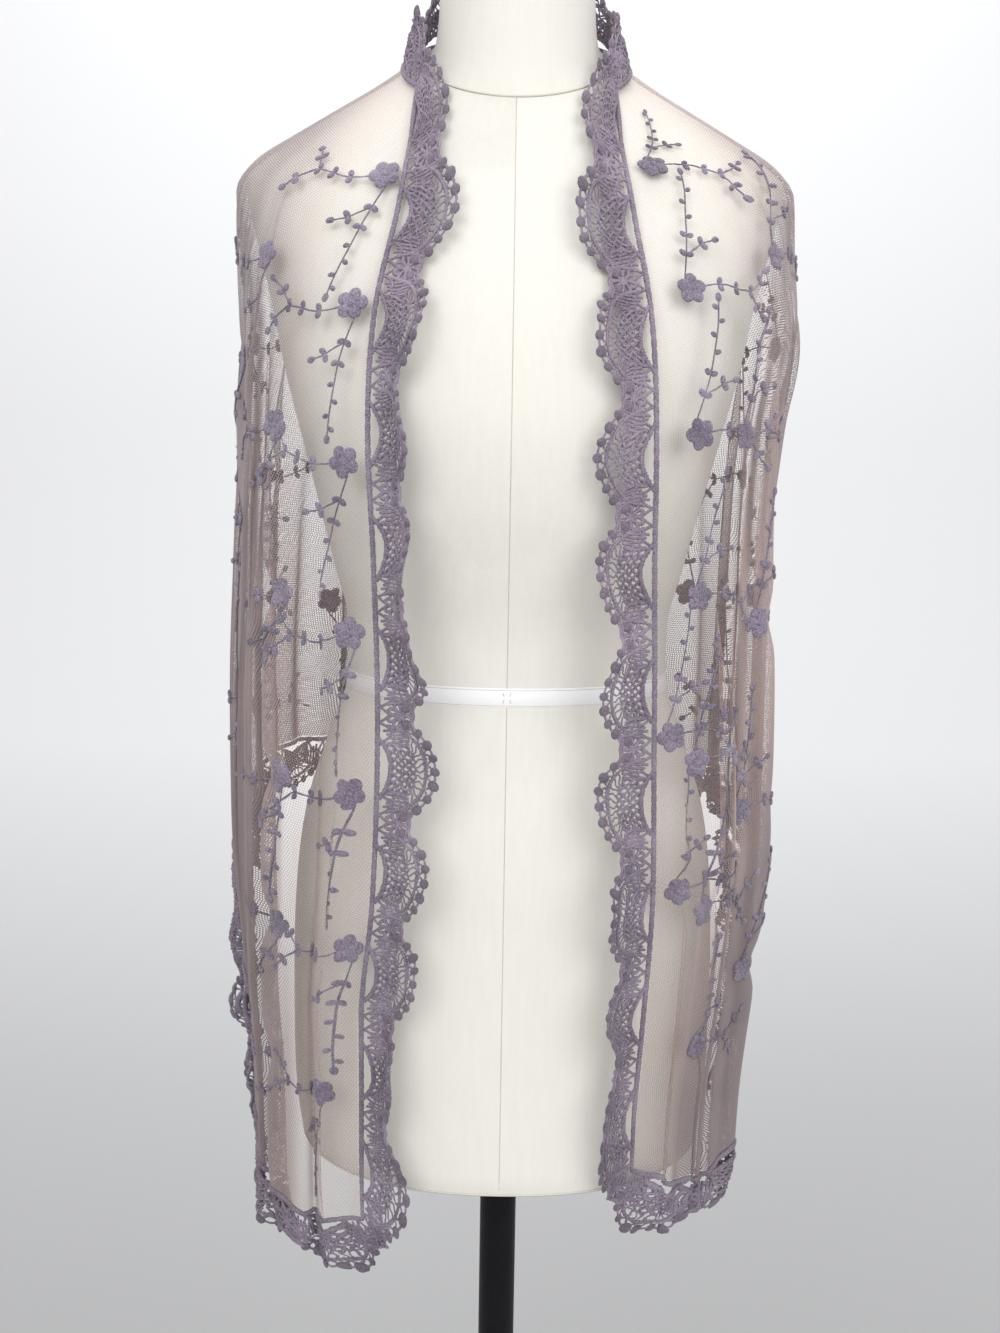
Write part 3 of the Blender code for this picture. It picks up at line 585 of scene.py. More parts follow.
# A sheet through a grid of points, from Blender's own grid, with a UV map in metres
def gridMesh(name, points, uvs):
    columns, rows = points.shape[:2]
    sheet = bmesh.new()
    layer = sheet.loops.layers.uv.new("metres")
    bmesh.ops.create_grid(sheet, x_segments=columns - 1, y_segments=rows - 1, size=0.5)
    flatPoints = points.reshape(-1, 3)
    for vert in sheet.verts:
        i = round((vert.co.x + 0.5) * (columns - 1))
        j = round((0.5 - vert.co.y) * (rows - 1))
        vert.index = i * rows + j
    for face in sheet.faces:
        for loop in face.loops:
            loop[layer].uv = uvs[loop.vert.index // rows, loop.vert.index % rows]
    for vert in sheet.verts:
        vert.co = flatPoints[vert.index]
    mesh = bpy.data.meshes.new(name)
    sheet.to_mesh(mesh)
    sheet.free()
    mesh.shade_smooth()
    return mesh


# Net

# Points of the net down each rib, from the neck edge to the hem, with UVs in metres
def netPoints(side, shares, rowCount):
    half = halves[side]
    t = np.linspace(0, 1, rowCount)
    points = np.zeros((len(shares), rowCount, 3))
    for i, share in enumerate(shares):
        j = int(round(half.column(share)))
        column = half.rib[:, min(max(j, 0), len(half.shares) - 1)]
        hemRib = np.interp(float(half.hem(share)), half.heights, column)
        heights = np.interp(t * hemRib, column[::-1], half.heights[::-1])
        heights[-1] = float(half.hem(share))
        points[i] = half.at(np.full(rowCount, share), heights)
    return points


def sheetUVs(points):
    across = np.linalg.norm(np.diff(points, axis=0), axis=2)
    down = np.linalg.norm(np.diff(points, axis=1), axis=2)
    uvs = np.zeros(points.shape[:2] + (2,))
    uvs[1:, :, 0] = np.cumsum(across, axis=0)
    uvs[:, 1:, 1] = -np.cumsum(down, axis=1)
    uvs[:, :, 1] += 1.0
    return uvs


frontShares = np.linspace(0, net["frontShare"], net["frontColumns"])
backShares = np.linspace(net["frontShare"], 1, net["backColumns"])
halfShares = np.concatenate([frontShares, backShares[1:]])
points = np.concatenate([netPoints("left", halfShares, net["rows"]),
                         netPoints("right", halfShares[::-1][1:], net["rows"])])
netPiece = addPiece("netCloth", gridMesh("netCloth", points, sheetUVs(points)), "net",
                    ["net_left_front", "net_right_front", "net_back"])
print("net made")


# Lace repeat

# Round cords as one mesh: each has its points, its radius, and whether it is closed
def cordMesh(name, cords):
    curve = bpy.data.curves.new(name, "CURVE")
    curve.dimensions = "3D"
    curve.bevel_depth = 1.0
    curve.bevel_resolution = 0
    curve.use_fill_caps = True
    for cord in cords:
        points = np.asarray(cord["points"], float)
        spline = curve.splines.new("POLY")
        spline.points.add(len(points) - 1)
        spline.points.foreach_set("co", np.column_stack([points, np.ones(len(points))]).ravel())
        spline.points.foreach_set("radius", np.full(len(points), float(cord["radius"])))
        spline.use_cyclic_u = cord.get("closed", False)
        spline.use_smooth = True
    holder = bpy.data.objects.new(name, curve)
    bpy.context.scene.collection.objects.link(holder)
    bpy.context.view_layer.update()
    mesh = bpy.data.meshes.new_from_object(holder.evaluated_get(bpy.context.evaluated_depsgraph_get()))
    bpy.data.objects.remove(holder)
    return mesh


# Squashed round beads as one mesh: each place is a centre, three radii and a turn
def beadMesh(places, segments, rings):
    beads = bmesh.new()
    for centre, radii, turn in places:
        place = Matrix.Translation(Vector(centre)) @ Matrix.Rotation(turn, 4, "Z")
        bmesh.ops.create_uvsphere(beads, u_segments=segments, v_segments=rings, radius=1.0,
                                  matrix=place @ Matrix.Diagonal((*radii, 1)))
    mesh = bpy.data.meshes.new("beads")
    beads.to_mesh(mesh)
    beads.free()
    return mesh


# Vertices and faces of several meshes as arrays
def joinedArrays(meshes):
    vertices, totals, loops = [], [], []
    offset = 0
    for mesh in meshes:
        co = np.zeros(len(mesh.vertices) * 3)
        mesh.vertices.foreach_get("co", co)
        index = np.zeros(len(mesh.loops), int)
        mesh.loops.foreach_get("vertex_index", index)
        total = np.zeros(len(mesh.polygons), int)
        mesh.polygons.foreach_get("loop_total", total)
        vertices.append(co.reshape(-1, 3))
        loops.append(index + offset)
        totals.append(total)
        offset += len(mesh.vertices)
    return np.concatenate(vertices), np.concatenate(loops), np.concatenate(totals)


# Copies of one pattern of faces, each on its own points, joined as one mesh
def arrayMesh(name, vertexSets, loops, totals):
    count = len(vertexSets)
    size = len(vertexSets[0])
    mesh = bpy.data.meshes.new(name)
    allLoops = np.concatenate([loops + i * size for i in range(count)])
    allTotals = np.tile(totals, count)
    mesh.vertices.add(count * size)
    mesh.vertices.foreach_set("co", np.concatenate(vertexSets).ravel())
    mesh.loops.add(len(allLoops))
    mesh.loops.foreach_set("vertex_index", allLoops)
    mesh.polygons.add(len(allTotals))
    mesh.polygons.foreach_set("loop_start", np.concatenate([[0], np.cumsum(allTotals)[:-1]]))
    mesh.polygons.foreach_set("use_smooth", np.ones(len(allTotals), bool))
    mesh.update(calc_edges=True)
    mesh.validate()
    return mesh


# One repeat, in millimetres: along, out from the braid, and up off the cloth
repeat = {
    "half": 35.0, "braidCentre": 1.7, "strandTurn": 4.4, "braid": 1.3, "braidOffset": 0.85,
    "almondHalf": 18.5, "almondDepth": 9.6, "almondFoot": 2.4, "almondCord": 1.15, "rise": 0.85,
    "bodyHalf": 16.0, "bodyOuter": 26.5, "bodyRound": 5.5, "bodyGap": 3.0, "bodyRows": 6, "bodyCord": 0.86,
    "stitch": 5.0, "stitchSway": 1.05, "stitchLoft": 0.65, "endCord": 1.15,
    "rowKnots": 8, "knot": (1.45, 1.2, 0.95),
    "arcHalf": 27.5, "arcDepth": 33.0, "arcFoot": 4.0, "arcReach": 1.47, "arcCord": 1.05,
    "bars": 17, "barReach": 1.3, "barSway": 0.85, "bar": 0.62,
    "beadStep": 6.2, "beads": 9, "beadReach": 1.15, "beadRadius": 3.4, "zigzag": 0.7, "beadThread": 0.85,
    "rosette": 16.5, "petal": 1.3, "rosetteKnot": (2.8, 2.8, 1.4), "valleyCords": 5, "valleyCord": 0.95,
}


# Two strands wound round a line in the plane of the lace
def twistedCord(cords, a, b, strand, offset, turns):
    run = np.concatenate([[0], np.cumsum(np.hypot(np.diff(a), np.diff(b)))])
    da, db = np.gradient(a), np.gradient(b)
    size = np.maximum(np.hypot(da, db), 1e-6)
    for shift in (0.0, math.pi):
        twist = run * 2 * math.pi / turns + shift
        side = offset * np.cos(twist)
        points = np.column_stack([a - db / size * side, b + da / size * side, offset * np.sin(twist)])
        cords.append({"points": points, "radius": strand})


def almondEdge(a, extra):
    t = np.clip(np.abs(a) / (repeat["almondHalf"] + extra), 0, 1)
    rise = repeat["almondDepth"] + extra - repeat["almondFoot"]
    return repeat["almondFoot"] + rise * np.cos(t * math.pi / 2) ** repeat["rise"]


def bodyEdge(a):
    return repeat["bodyOuter"] - repeat["bodyRound"] * (a / repeat["bodyHalf"]) ** 2


# A share of the way from the almond to the body's outer edge
def bodyRow(a, t):
    inner = almondEdge(a, repeat["bodyGap"])
    return inner + (bodyEdge(a) - inner) * t


def outerArc(angle, extra):
    rise = repeat["arcDepth"] - repeat["arcFoot"] + extra
    out = repeat["arcFoot"] + rise * np.cos(angle) ** repeat["rise"]
    return (repeat["arcHalf"] + extra * 0.8) * np.sin(angle), out


def laceCords():
    cords, beads, knots = [], [], []
    half, bodyHalf = repeat["half"], repeat["bodyHalf"]

    def cord(a, b, c, radius, closed=False):
        points = np.column_stack(np.broadcast_arrays(a, b, c))
        cords.append({"points": points, "radius": radius, "closed": closed})

    a = np.linspace(-half, half, 65)
    twistedCord(cords, a, np.full_like(a, repeat["braidCentre"]), repeat["braid"], repeat["braidOffset"],
                repeat["strandTurn"])
    a = np.linspace(-repeat["almondHalf"] - 1.2, repeat["almondHalf"] + 1.2, 41)
    twistedCord(cords, a, almondEdge(a, 1.2), repeat["almondCord"], 0.9, 3.6)

    # Chunky rows of looped stitches over the middle of the scallop
    for j in range(repeat["bodyRows"] + 1):
        t = j / repeat["bodyRows"]
        reach = bodyHalf * (1.0 + 0.1 * math.sin(t * math.pi))
        a = np.linspace(-reach, reach, 53)
        wave = a * 2 * math.pi / repeat["stitch"]
        cord(a, bodyRow(a, t) + repeat["stitchSway"] * np.sin(wave + j * math.pi),
             repeat["stitchLoft"] * np.cos(wave + j * 1.3), repeat["bodyCord"])
        for i in range(repeat["rowKnots"] if 0 < j < repeat["bodyRows"] else 0):
            ka = -reach + (i + 0.5 + 0.25 * (j % 2)) * reach * 2 / repeat["rowKnots"]
            centre = (ka, float(bodyRow(ka, t)), 0.9 + 0.3 * math.sin(i * 2 + j))
            knots.append((centre, repeat["knot"], 0.7 * i + j))
    t = np.linspace(0, 1, 12)
    for end in (-1, 1):
        cord(end * (bodyHalf + 0.6 * np.sin(t * 9)), bodyRow(bodyHalf, t), 0.4 * np.cos(t * 11),
             repeat["endCord"])

    # Bars that fan out to the double outer cord
    a, b = outerArc(np.linspace(-repeat["arcReach"], repeat["arcReach"], 41), 0.5)
    twistedCord(cords, a, b, repeat["arcCord"], 0.85, 3.8)
    t = np.linspace(0, 1, 6)
    for i, angle in enumerate(np.linspace(-repeat["barReach"], repeat["barReach"], repeat["bars"])):
        endA, endB = outerArc(angle, -0.6)
        startA = math.copysign(min(abs(math.sin(angle)) * bodyHalf * 1.06, bodyHalf), angle)
        startB = bodyEdge(startA) - max(0.0, abs(angle) - 0.92) * 26 - 0.4
        sway = repeat["barSway"] * np.sin(t * 2 * math.pi + i * 1.7)
        cord(startA + (endA - startA) * t + sway * math.cos(angle),
             startB + (endB - startB) * t - sway * math.sin(angle), 0.5 * np.sin(t * 6 + i), repeat["bar"])

    # Round beads on their thread, held by zigzag threads
    angles = np.linspace(-repeat["beadReach"], repeat["beadReach"], repeat["beads"])
    beadA, beadB = outerArc(angles, repeat["beadStep"])
    for i, angle in enumerate(angles):
        size = repeat["beadRadius"] * (0.94 + 0.1 * math.sin(i * 2.3 + 0.5))
        centre = (beadA[i], beadB[i], 0.3 * math.sin(i * 1.9))
        beads.append((centre, (size, size * 1.1, size * 0.55), -angle))
    middleA, middleB = outerArc((angles[:-1] + angles[1:]) / 2, 1.4)
    for a0, b0, a1, b1, ma, mb in zip(beadA, beadB, beadA[1:], beadB[1:], middleA, middleB):
        cord([a0, (a0 + 2 * ma) / 3, ma, (a1 + 2 * ma) / 3, a1],
             [b0, (b0 + 2 * mb) / 3, mb, (b1 + 2 * mb) / 3, b1], [0, 0.5, 0, 0.5, 0], repeat["zigzag"])
        cord([a0, (a0 + a1) / 2 * 1.01, a1], [b0, (b0 + b1) / 2 * 1.02, b1], 0, repeat["beadThread"])

    # Each valley's rosette of looped petals, half of it at each end of the repeat
    for end in (-1, 1):
        t = np.linspace(0, 2 * math.pi, 11)[:-1]
        for k in range(8):
            turn = k * math.pi / 4 + math.pi / 8
            if math.cos(turn) * end > 0:
                continue
            loopA, loopB = 5.1 + 3.2 * np.cos(t), 2.0 * np.sin(t)
            cord(end * half + loopA * math.cos(turn) - loopB * math.sin(turn),
                 repeat["rosette"] + loopA * math.sin(turn) + loopB * math.cos(turn),
                 0.6 + 0.4 * np.sin(t * 2 + k), repeat["petal"], True)
        knots.append(((end * (half - 0.8), repeat["rosette"], 0.7), repeat["rosetteKnot"], 0.0))
        t = np.linspace(0, 1, 7)
        for k in range(repeat["valleyCords"]):
            a0 = end * (half - 8.8 - k * 2.25)
            cord(a0 + end * (-1.6 + 2.4 * t * t) + 0.3 * np.sin(t * 8 + k),
                 5.5 + 1.9 * k + (19.0 - 2.4 * k) * t * 0.95, 0.4 * np.cos(t * 6 + k), repeat["valleyCord"])
        # Threads between the braid, the rosette and the outer cord
        t = np.linspace(0, 1, 12)
        arch = 2.6 + 8.2 * np.sin(t * math.pi) ** 0.75
        cord(end * (half - 17.8 + 12.8 * t), arch, 0.4 * np.sin(t * 9), 0.95)
        cord(end * (half - 5.0 + 5.0 * t), 2.4 + 7.5 * t ** 0.7, 0.3 * np.sin(t * 9), 0.9)
        sway = 0.4 * np.sin(t * 8)
        cord(end * (half - 14.0 + 14.0 * t), 27.6 - 2.6 * t + 0.8 * np.sin(t * 7), sway, 1.05)
        cord(end * (half - 12.0 + 12.0 * t), 24.6 - 0.6 * t + 0.9 * np.sin(t * 7 + 1), sway, 0.9)
    return cords, beads, knots


cords, beads, knots = laceCords()
laceParts = [cordMesh("laceCords", cords), beadMesh(beads, 10, 6), beadMesh(knots, 5, 3)]
laceVertices, laceLoops, laceTotals = joinedArrays(laceParts)
laceVertices = laceVertices / 1000
# 1 on the beads, which are darker
beadShare = np.repeat([0.0, 1.0, 0.0], [len(part.vertices) for part in laceParts])
print("lace repeat made,", int(np.sum(laceTotals - 2)), "triangles")


# Lace ribbons

lace = {
    "repeat": 0.07, "depth": 0.048, "rows": 13, "neckRise": 74.0, "neckFrom": 0.3, "neckTurn": 0.35,
    "mitreReach": 0.09, "mitre": 45.0, "samples": 900, "step": 0.0025, "ruffle": 0.0026, "hemRuffle": 0.0048,
    "ruffleLength": 0.052, "rufflePower": 1.4, "flarePower": 1.3, "gap": 0.0009, "sway": 9.0,
    "swayLength": 0.165, "slide": 0.0006, "waver": 0.0005, "slopeStep": 0.01, "levelAt": 0.03,
}
# How the front lace lies, in degrees: turned forward from flat, raised from level, and curled over its depth
laceLie = {
    "height": [0.402, 0.385, 0.365, 0.345, 0.32, 0.29, 0.245, 0.19, 0.13, 0.06, 0.0, -0.1, -0.18,
               -0.235, -0.29, -0.35],
    "left": [20, 22, 24, 26, 28, 28, 30, 52, 62, 56, 26, 22, 34, 60, 52, 22],
    "right": [20, 22, 24, 26, 28, 26, 24, 20, 20, 26, 26, 30, 48, 78, 74, 30],
    "rise": [74, 66, 50, 34, 16, 0, 0, 0, 0, 0, 0, 0, 0, 0, 0, 0],
    "leftCurl": [0, 0, 0, 5, 12, 18, 40, 95, 125, 110, 30, 16, 40, 115, 100, 15],
    "rightCurl": [0, 0, 0, 5, 12, 18, 24, 16, 20, 36, 16, 24, 60, 140, 130, 20],
}
# How far the hem lace's lower edge stands outward from the cloth's surface
hemFlare = {
    "share": [0.0, 0.28, 0.34, 0.42, 0.54, 0.7, 1.0],
    "left": [0.0, 0.002, 0.012, 0.018, 0.015, 0.005, 0.003],
    "right": [0.0, 0.0, 0.007, 0.012, 0.01, 0.004, 0.003],
}


# Lace points beside an edge, turned forward, raised and curled, for each edge point and distance
def turned(edgePoints, inward, turn, rise, b, curl=0.0):
    forward = np.array([0.0, -1.0, 0.0])
    up = np.array([0.0, 0.0, 1.0])
    points = np.repeat(edgePoints[:, None, :], len(b), axis=1)
    last, place = 0.0, edgePoints.copy()
    for j, distance in enumerate(b):
        bend = turn + curl * ((distance + last) / 2 / lace["depth"] - 0.5)
        level = unit(inward * np.cos(bend)[:, None] + forward * np.sin(bend)[:, None])
        direction = level * np.cos(rise)[:, None] + up * np.sin(rise)[:, None]
        place = place + direction * (distance - last)
        last = distance
        points[:, j] = place
    return points


ribbonB = np.linspace(0, lace["depth"], lace["rows"])


# Even places along an edge, with what the edge was drawn by at each place
def evenPlaces(edge, values):
    lengths = arcLengths(edge)
    places = np.linspace(0, lengths[-1], int(lengths[-1] / lace["step"]))
    return places, np.interp(places, lengths, values)


# Level directions from points toward the neck's middle
def toMiddle(points):
    return unit(-points * np.array([1.0, 1.0, 0.0]))


# The lace along a front edge, from the hem's corner up to the neck
def frontRibbon(side):
    half = halves[side]
    hem = float(half.hem(0.0))
    heights = np.linspace(hem, neckHeight, lace["samples"])
    places, heights = evenPlaces(half.at(np.zeros_like(heights), heights), heights)
    edge = half.at(np.zeros_like(heights), heights)
    turn = np.radians(smoothValue(laceLie, "height", side, heights))
    rise = np.radians(smoothValue(laceLie, "height", "rise", heights))
    roundNeck = smoothStep((heights - lace["neckFrom"]) / (neckHeight - lace["neckFrom"]))
    sideways = (1 - roundNeck)[:, None] * np.array([-half.sign, 0.0, 0.0])
    inward = unit(sideways + roundNeck[:, None] * toMiddle(edge))
    curl = np.radians(smoothValue(laceLie, "height", side + "Curl", heights))
    sway = np.radians(lace["sway"]) * np.sin(places * 2 * math.pi / lace["swayLength"] + half.sign)
    hung = turned(edge, inward, (turn + sway) * (1 - roundNeck), rise, lace["gap"] + ribbonB, curl)
    mitre = 1 - smoothStep((heights - hem) / lace["mitreReach"])
    angle = np.radians(lace["mitre"]) * mitre
    flat = np.zeros_like(hung)
    for j, b in enumerate(lace["gap"] + ribbonB):
        flat[:, j] = half.at(np.zeros_like(heights), heights - b * np.sin(angle), -b * np.cos(angle))
    return places, (1 - mitre)[:, None, None] * hung + mitre[:, None, None] * flat


# The standing lace round the neck, from the right front to the left
def neckRibbon():
    ribbons, places, start = [], [], 0.0
    for side in ("right", "left"):
        half = halves[side]
        shares = np.linspace(0, 1, 400)
        if side == "left":
            shares = shares[::-1]
        steps, shares = evenPlaces(half.at(shares, np.full_like(shares, neckHeight)), shares)
        edge = half.at(shares, np.full_like(shares, neckHeight))
        grown = smoothStep(shares / lace["neckTurn"])
        front = float(smoothValue(laceLie, "height", "rise", neckHeight))
        rise = np.radians(front + (lace["neckRise"] - front) * grown)
        ribbon = turned(edge, toMiddle(edge), np.zeros_like(rise), rise, 2 * lace["gap"] + ribbonB)
        skip = 1 if ribbons else 0
        ribbons.append(ribbon[skip:])
        places.append(start + steps[skip:])
        start += steps[-1]
    return np.concatenate(places), np.concatenate(ribbons)


# The lace below the hem between two shares, square to the hem and on the cloth's own surface
def hemRibbon(side, first, last):
    half = halves[side]
    shares = np.linspace(first, last, lace["samples"])
    places, shares = evenPlaces(half.at(shares, half.hem(shares)), shares)
    hem = half.hem(shares)
    low, high = (np.clip(shares + step, 0, 1) for step in (-lace["slopeStep"], lace["slopeStep"]))
    ringLength = half.length(hem)
    slope = np.arctan((half.hem(high) - half.hem(low)) / ((high - low) * ringLength))
    slope *= smoothStep((1 - shares) / lace["levelAt"])
    grown = smoothStep(shares * ringLength / lace["mitreReach"])
    angle = grown * slope - (1 - grown) * math.radians(lace["mitre"])
    ribbon = np.zeros((len(places), len(ribbonB), 3))
    for j, b in enumerate(lace["gap"] + ribbonB):
        ribbon[:, j] = half.at(shares, hem - b * np.cos(angle), b * np.sin(angle))
    outward = -toMiddle(ribbon[:, -1])
    flare = smoothValue(hemFlare, "share", side, shares)
    for j, b in enumerate(ribbonB):
        ribbon[:, j] += outward * (flare * (b / lace["depth"]) ** lace["flarePower"])[:, None]
    return places, ribbon


# Points of a ribbon at distances along, out and up
def ribbonPoint(places, ribbon, normals, a, b, c):
    i = np.clip(np.interp(a, places, np.arange(len(places))), 0, len(places) - 1.001)
    j = b / ribbonB[1]
    row = i.astype(int)
    beyond = np.minimum(b, 0)[:, None] * (ribbon[row, 1] - ribbon[row, 0]) / ribbonB[1]
    return gridValue(ribbon, i, j) + beyond + unit(gridValue(normals, i, j)) * c[:, None]


# Copies of the repeat laid along a ribbon, with a soft ruffle and small unevenness
def layLace(name, places, ribbon, replaced, flip, ruffle=lace["ruffle"]):
    count = max(1, round(places[-1] / lace["repeat"]))
    size = places[-1] / count
    normals = unit(np.cross(np.gradient(ribbon, axis=0), np.gradient(ribbon, axis=1)) * flip)
    sets = []
    phase = random.uniform(0, 6.28)
    for k in range(count):
        stretch = size / lace["repeat"]
        a, b, c = laceVertices.T
        a = a * stretch + (k + 0.5) * size
        inside = np.sin((a - k * size) / size * math.pi)
        wobble = random.uniform(-1, 1, 4)
        a = a + (lace["slide"] * wobble[0] + lace["waver"] * np.sin(b * 260 + wobble[1] * 3)) * inside
        b = b + lace["waver"] * np.sin(a * 190 + phase) * (b > 0.004)
        depth = np.clip(b / lace["depth"], 0, 1)
        wave = np.sin(a * 2 * math.pi / lace["ruffleLength"] + phase)
        c = c + ruffle * depth ** lace["rufflePower"] * wave
        sets.append(ribbonPoint(places, ribbon, normals, a, b, c))
    mesh = arrayMesh(name, sets, laceLoops, laceTotals)
    mesh.attributes.new("bead", "FLOAT", "POINT").data.foreach_set("value", np.tile(beadShare, count))
    print(name, count, "repeats")
    return addPiece(name, mesh, "lace", replaced)


for side, flip in (("left", 1), ("right", -1)):
    name = "laceFront" + side.capitalize()
    layLace(name, *frontRibbon(side), ["lace_" + side + "_front"], flip)
layLace("laceNeck", *neckRibbon(), ["lace_neck"], 1)
for side, flip in (("left", -1), ("right", 1)):
    name = "laceEnd" + side.capitalize()
    places, ribbon = hemRibbon(side, 0.0, cornerShare)
    layLace(name, places, ribbon, ["lace_" + side + "_end"], flip, lace["hemRuffle"])
rightPlaces, rightRibbon = hemRibbon("right", cornerShare, 1.0)
leftPlaces, leftRibbon = hemRibbon("left", cornerShare, 1.0)
leftPlaces = rightPlaces[-1] + leftPlaces[-1] - leftPlaces[::-1]
places = np.concatenate([rightPlaces, leftPlaces[1:]])
ribbon = np.concatenate([rightRibbon, leftRibbon[::-1][1:]])
layLace("laceBackHem", places, ribbon, ["lace_back_hem"], 1, lace["hemRuffle"])
print("lace laid")


# Embroidery

flower = {
    "petals": 5, "reach": 5.7, "petalLength": 4.7, "petalWidth": 4.5, "petalHeight": 1.35, "loft": 0.7,
    "middle": (2.6, 2.6, 1.2), "spin": 0.12, "smallest": 0.94, "largest": 1.06, "fromEdge": 0.004,
    "leastRoom": 0.012, "offNet": 0.0002,
}
leaf = {"length": 2.85, "width": 2.05, "height": 1.05, "off": 2.7, "spread": 1.1, "stem": 0.58}
# Sprigs of one motif in millimetres: points round and down the cloth from the flower's middle, and the
# shares of each sprig that carry a pair of leaves
sideSprig = {"round": [4, 14, 25, 36, 46, 52], "down": [0, 3, 3.5, 1, -1, 2], "pairs": [0.33, 0.56, 0.78]}
sideFork = {"round": [44, 49, 53, 58], "down": [-1, -6, -12, -17], "pairs": [0.55]}
sideEnd = {"round": [50, 57, 65], "down": [1, 5, 12], "pairs": [0.6]}
longSprig = {"round": [-3, 1, 5, 8, 11, 13], "down": [8, 20, 34, 50, 66, 80], "pairs": [0.24, 0.42]}
longFork = {"round": [3, 9, 16, 23], "down": [24, 27, 31, 33], "pairs": [0.6]}
longBuds = [0.58, 0.7, 0.82, 0.93]


# A soft line through a sprig's points, and its heading along the way
def sprigLine(sprig, sway):
    t = np.linspace(0, 1, len(sprig["round"]))
    fine = np.linspace(0, 1, 4 * len(t))
    table = {"t": t, "x": sprig["round"], "y": sprig["down"]}
    x, y = smoothValue(table, "t", "x", fine), smoothValue(table, "t", "y", fine)
    x = x + sway * np.sin(fine * math.pi)
    return fine, x, y, np.arctan2(np.gradient(y), np.gradient(x))


# A flower with its side sprig and its long sprig, in millimetres: round, down and off the cloth
def motifParts(variant):
    shapes, lines = [], []
    for k in range(flower["petals"]):
        turn = k * 2 * math.pi / flower["petals"] + 0.25 + 0.5 * variant
        size = 1 + 0.07 * math.sin(3 * k + variant)
        centre = (flower["reach"] * math.cos(turn), flower["reach"] * math.sin(turn), flower["loft"])
        radii = (flower["petalLength"] * size, flower["petalWidth"] * size, flower["petalHeight"])
        shapes.append((centre, radii, turn))
    shapes.append(((0, 0, flower["loft"] + 0.5), flower["middle"], 0))

    def addLeaf(x, y, turn, size=1.0):
        shapes.append(((x + leaf["off"] * math.cos(turn), y + leaf["off"] * math.sin(turn), 0.45),
                       (leaf["length"] * size, leaf["width"] * size, leaf["height"]), turn))

    def addSprig(sprig, tip=True):
        fine, x, y, heading = sprigLine(sprig, 1.2 * (variant - 0.5))
        lines.append({"points": np.column_stack([x, y, np.full(len(x), 0.35)]), "radius": leaf["stem"]})
        for n, share in enumerate(sprig["pairs"]):
            px, py, way = (float(np.interp(share, fine, values)) for values in (x, y, heading))
            for hand in (-1, 1):
                addLeaf(px, py, way + hand * leaf["spread"], 1.0 - 0.08 * n)
        if tip:
            addLeaf(x[-1], y[-1], float(heading[-1]), 1.05)
        return fine, x, y, heading

    addSprig(sideSprig, False)
    addSprig(sideFork)
    addSprig(sideEnd)
    fine, x, y, heading = addSprig(longSprig)
    addSprig(longFork)
    for n, share in enumerate(longBuds):
        px, py, way = (float(np.interp(share, fine, values)) for values in (x, y, heading))
        addLeaf(px, py, way + (leaf["spread"] if n % 2 else -leaf["spread"]), 0.8)
    return joinedArrays([cordMesh("motifLines", lines), beadMesh(shapes, 12, 7)])


motifs = [motifParts(variant) for variant in (0, 1)]
print("motif triangles", [int(np.sum(motif[2] - 2)) for motif in motifs])

for side in ("left", "right"):
    half = halves[side]
    # The cloth's pattern runs one way along its length, so it climbs on the right side
    upward = 1 if side == "left" else -1
    for variant, (vertices, loops, totals) in enumerate(motifs):
        sets = []
        for share, height, kind in half.anchors:
            if kind != variant:
                continue
            spin = random.uniform(-flower["spin"], flower["spin"])
            scale = random.uniform(flower["smallest"], flower["largest"]) / 1000
            du = (vertices[:, 0] * math.cos(spin) - vertices[:, 1] * math.sin(spin)) * scale
            dv = (vertices[:, 0] * math.sin(spin) + vertices[:, 1] * math.cos(spin)) * scale * upward
            # Sprigs that would pass the hem or the neck edge are drawn shorter
            room = height - float(half.hem(min(max(share, 0), 1))) - flower["fromEdge"]
            room = max(room, flower["leastRoom"])
            fall = np.where(dv > 0, dv * min(1.0, room / max(float(dv.max()), 1e-6)), dv)
            head = max(neckHeight - height - flower["fromEdge"], flower["leastRoom"])
            fall = np.where(fall < 0, fall * min(1.0, head / max(float(-dv.min()), 1e-6)), fall)
            lift = vertices[:, 2] / 1000 + flower["offNet"]
            sets.append(half.place(share, height, du, fall, lift))
        name = "embroidery" + side.capitalize() + "AB"[variant]
        addPiece(name, arrayMesh(name, sets, loops, totals), "flower")
print("embroidery made")


# Form

# Points of the form's oval at one height
def formRing(height, angles, out=0.0):
    halfWidth, front, back, roundness, tilt = (
        float(smoothValue(formRings, "height", name, height))
        for name in ("halfWidth", "front", "back", "roundness", "tilt"))
    power = 2 / roundness
    sines, cosines = np.sin(angles), np.cos(angles)
    x = (halfWidth + out) * np.sign(sines) * np.abs(sines) ** power
    depth = np.where(cosines > 0, -(front + out), back + out)
    y = depth * np.abs(cosines) ** power
    return np.column_stack([x, y, waist + height + tilt * y])


form = {
    "segments": 160, "rows": 120, "low": -0.333, "top": 0.515, "neckSeam": 0.41, "seamDepth": 0.0006,
    "neckHalf": 0.055, "seamFoot": -0.328, "seamWidth": 0.00028, "sideSeamWidth": 0.0003,
    "neckSeamWidth": 0.0006, "hemSeam": -0.3325, "hemWidth": 0.0009, "seamHalf": 0.0012,
    "neckFrom": 0.325, "neckTo": 0.43, "neckRows": 40, "seamRows": 90, "sideRows": 78,
}


# Welds a mesh's doubled points, closes it if asked, and turns its faces outward
def cleaned(mesh, distance, close=False):
    working = bmesh.new()
    working.from_mesh(mesh)
    bmesh.ops.remove_doubles(working, verts=working.verts[:], dist=distance)
    if close:
        bmesh.ops.holes_fill(working, edges=[edge for edge in working.edges if edge.is_boundary], sides=0)
    bmesh.ops.recalc_face_normals(working, faces=working.faces[:])
    working.to_mesh(mesh)
    working.free()
    mesh.shade_smooth()
    return mesh


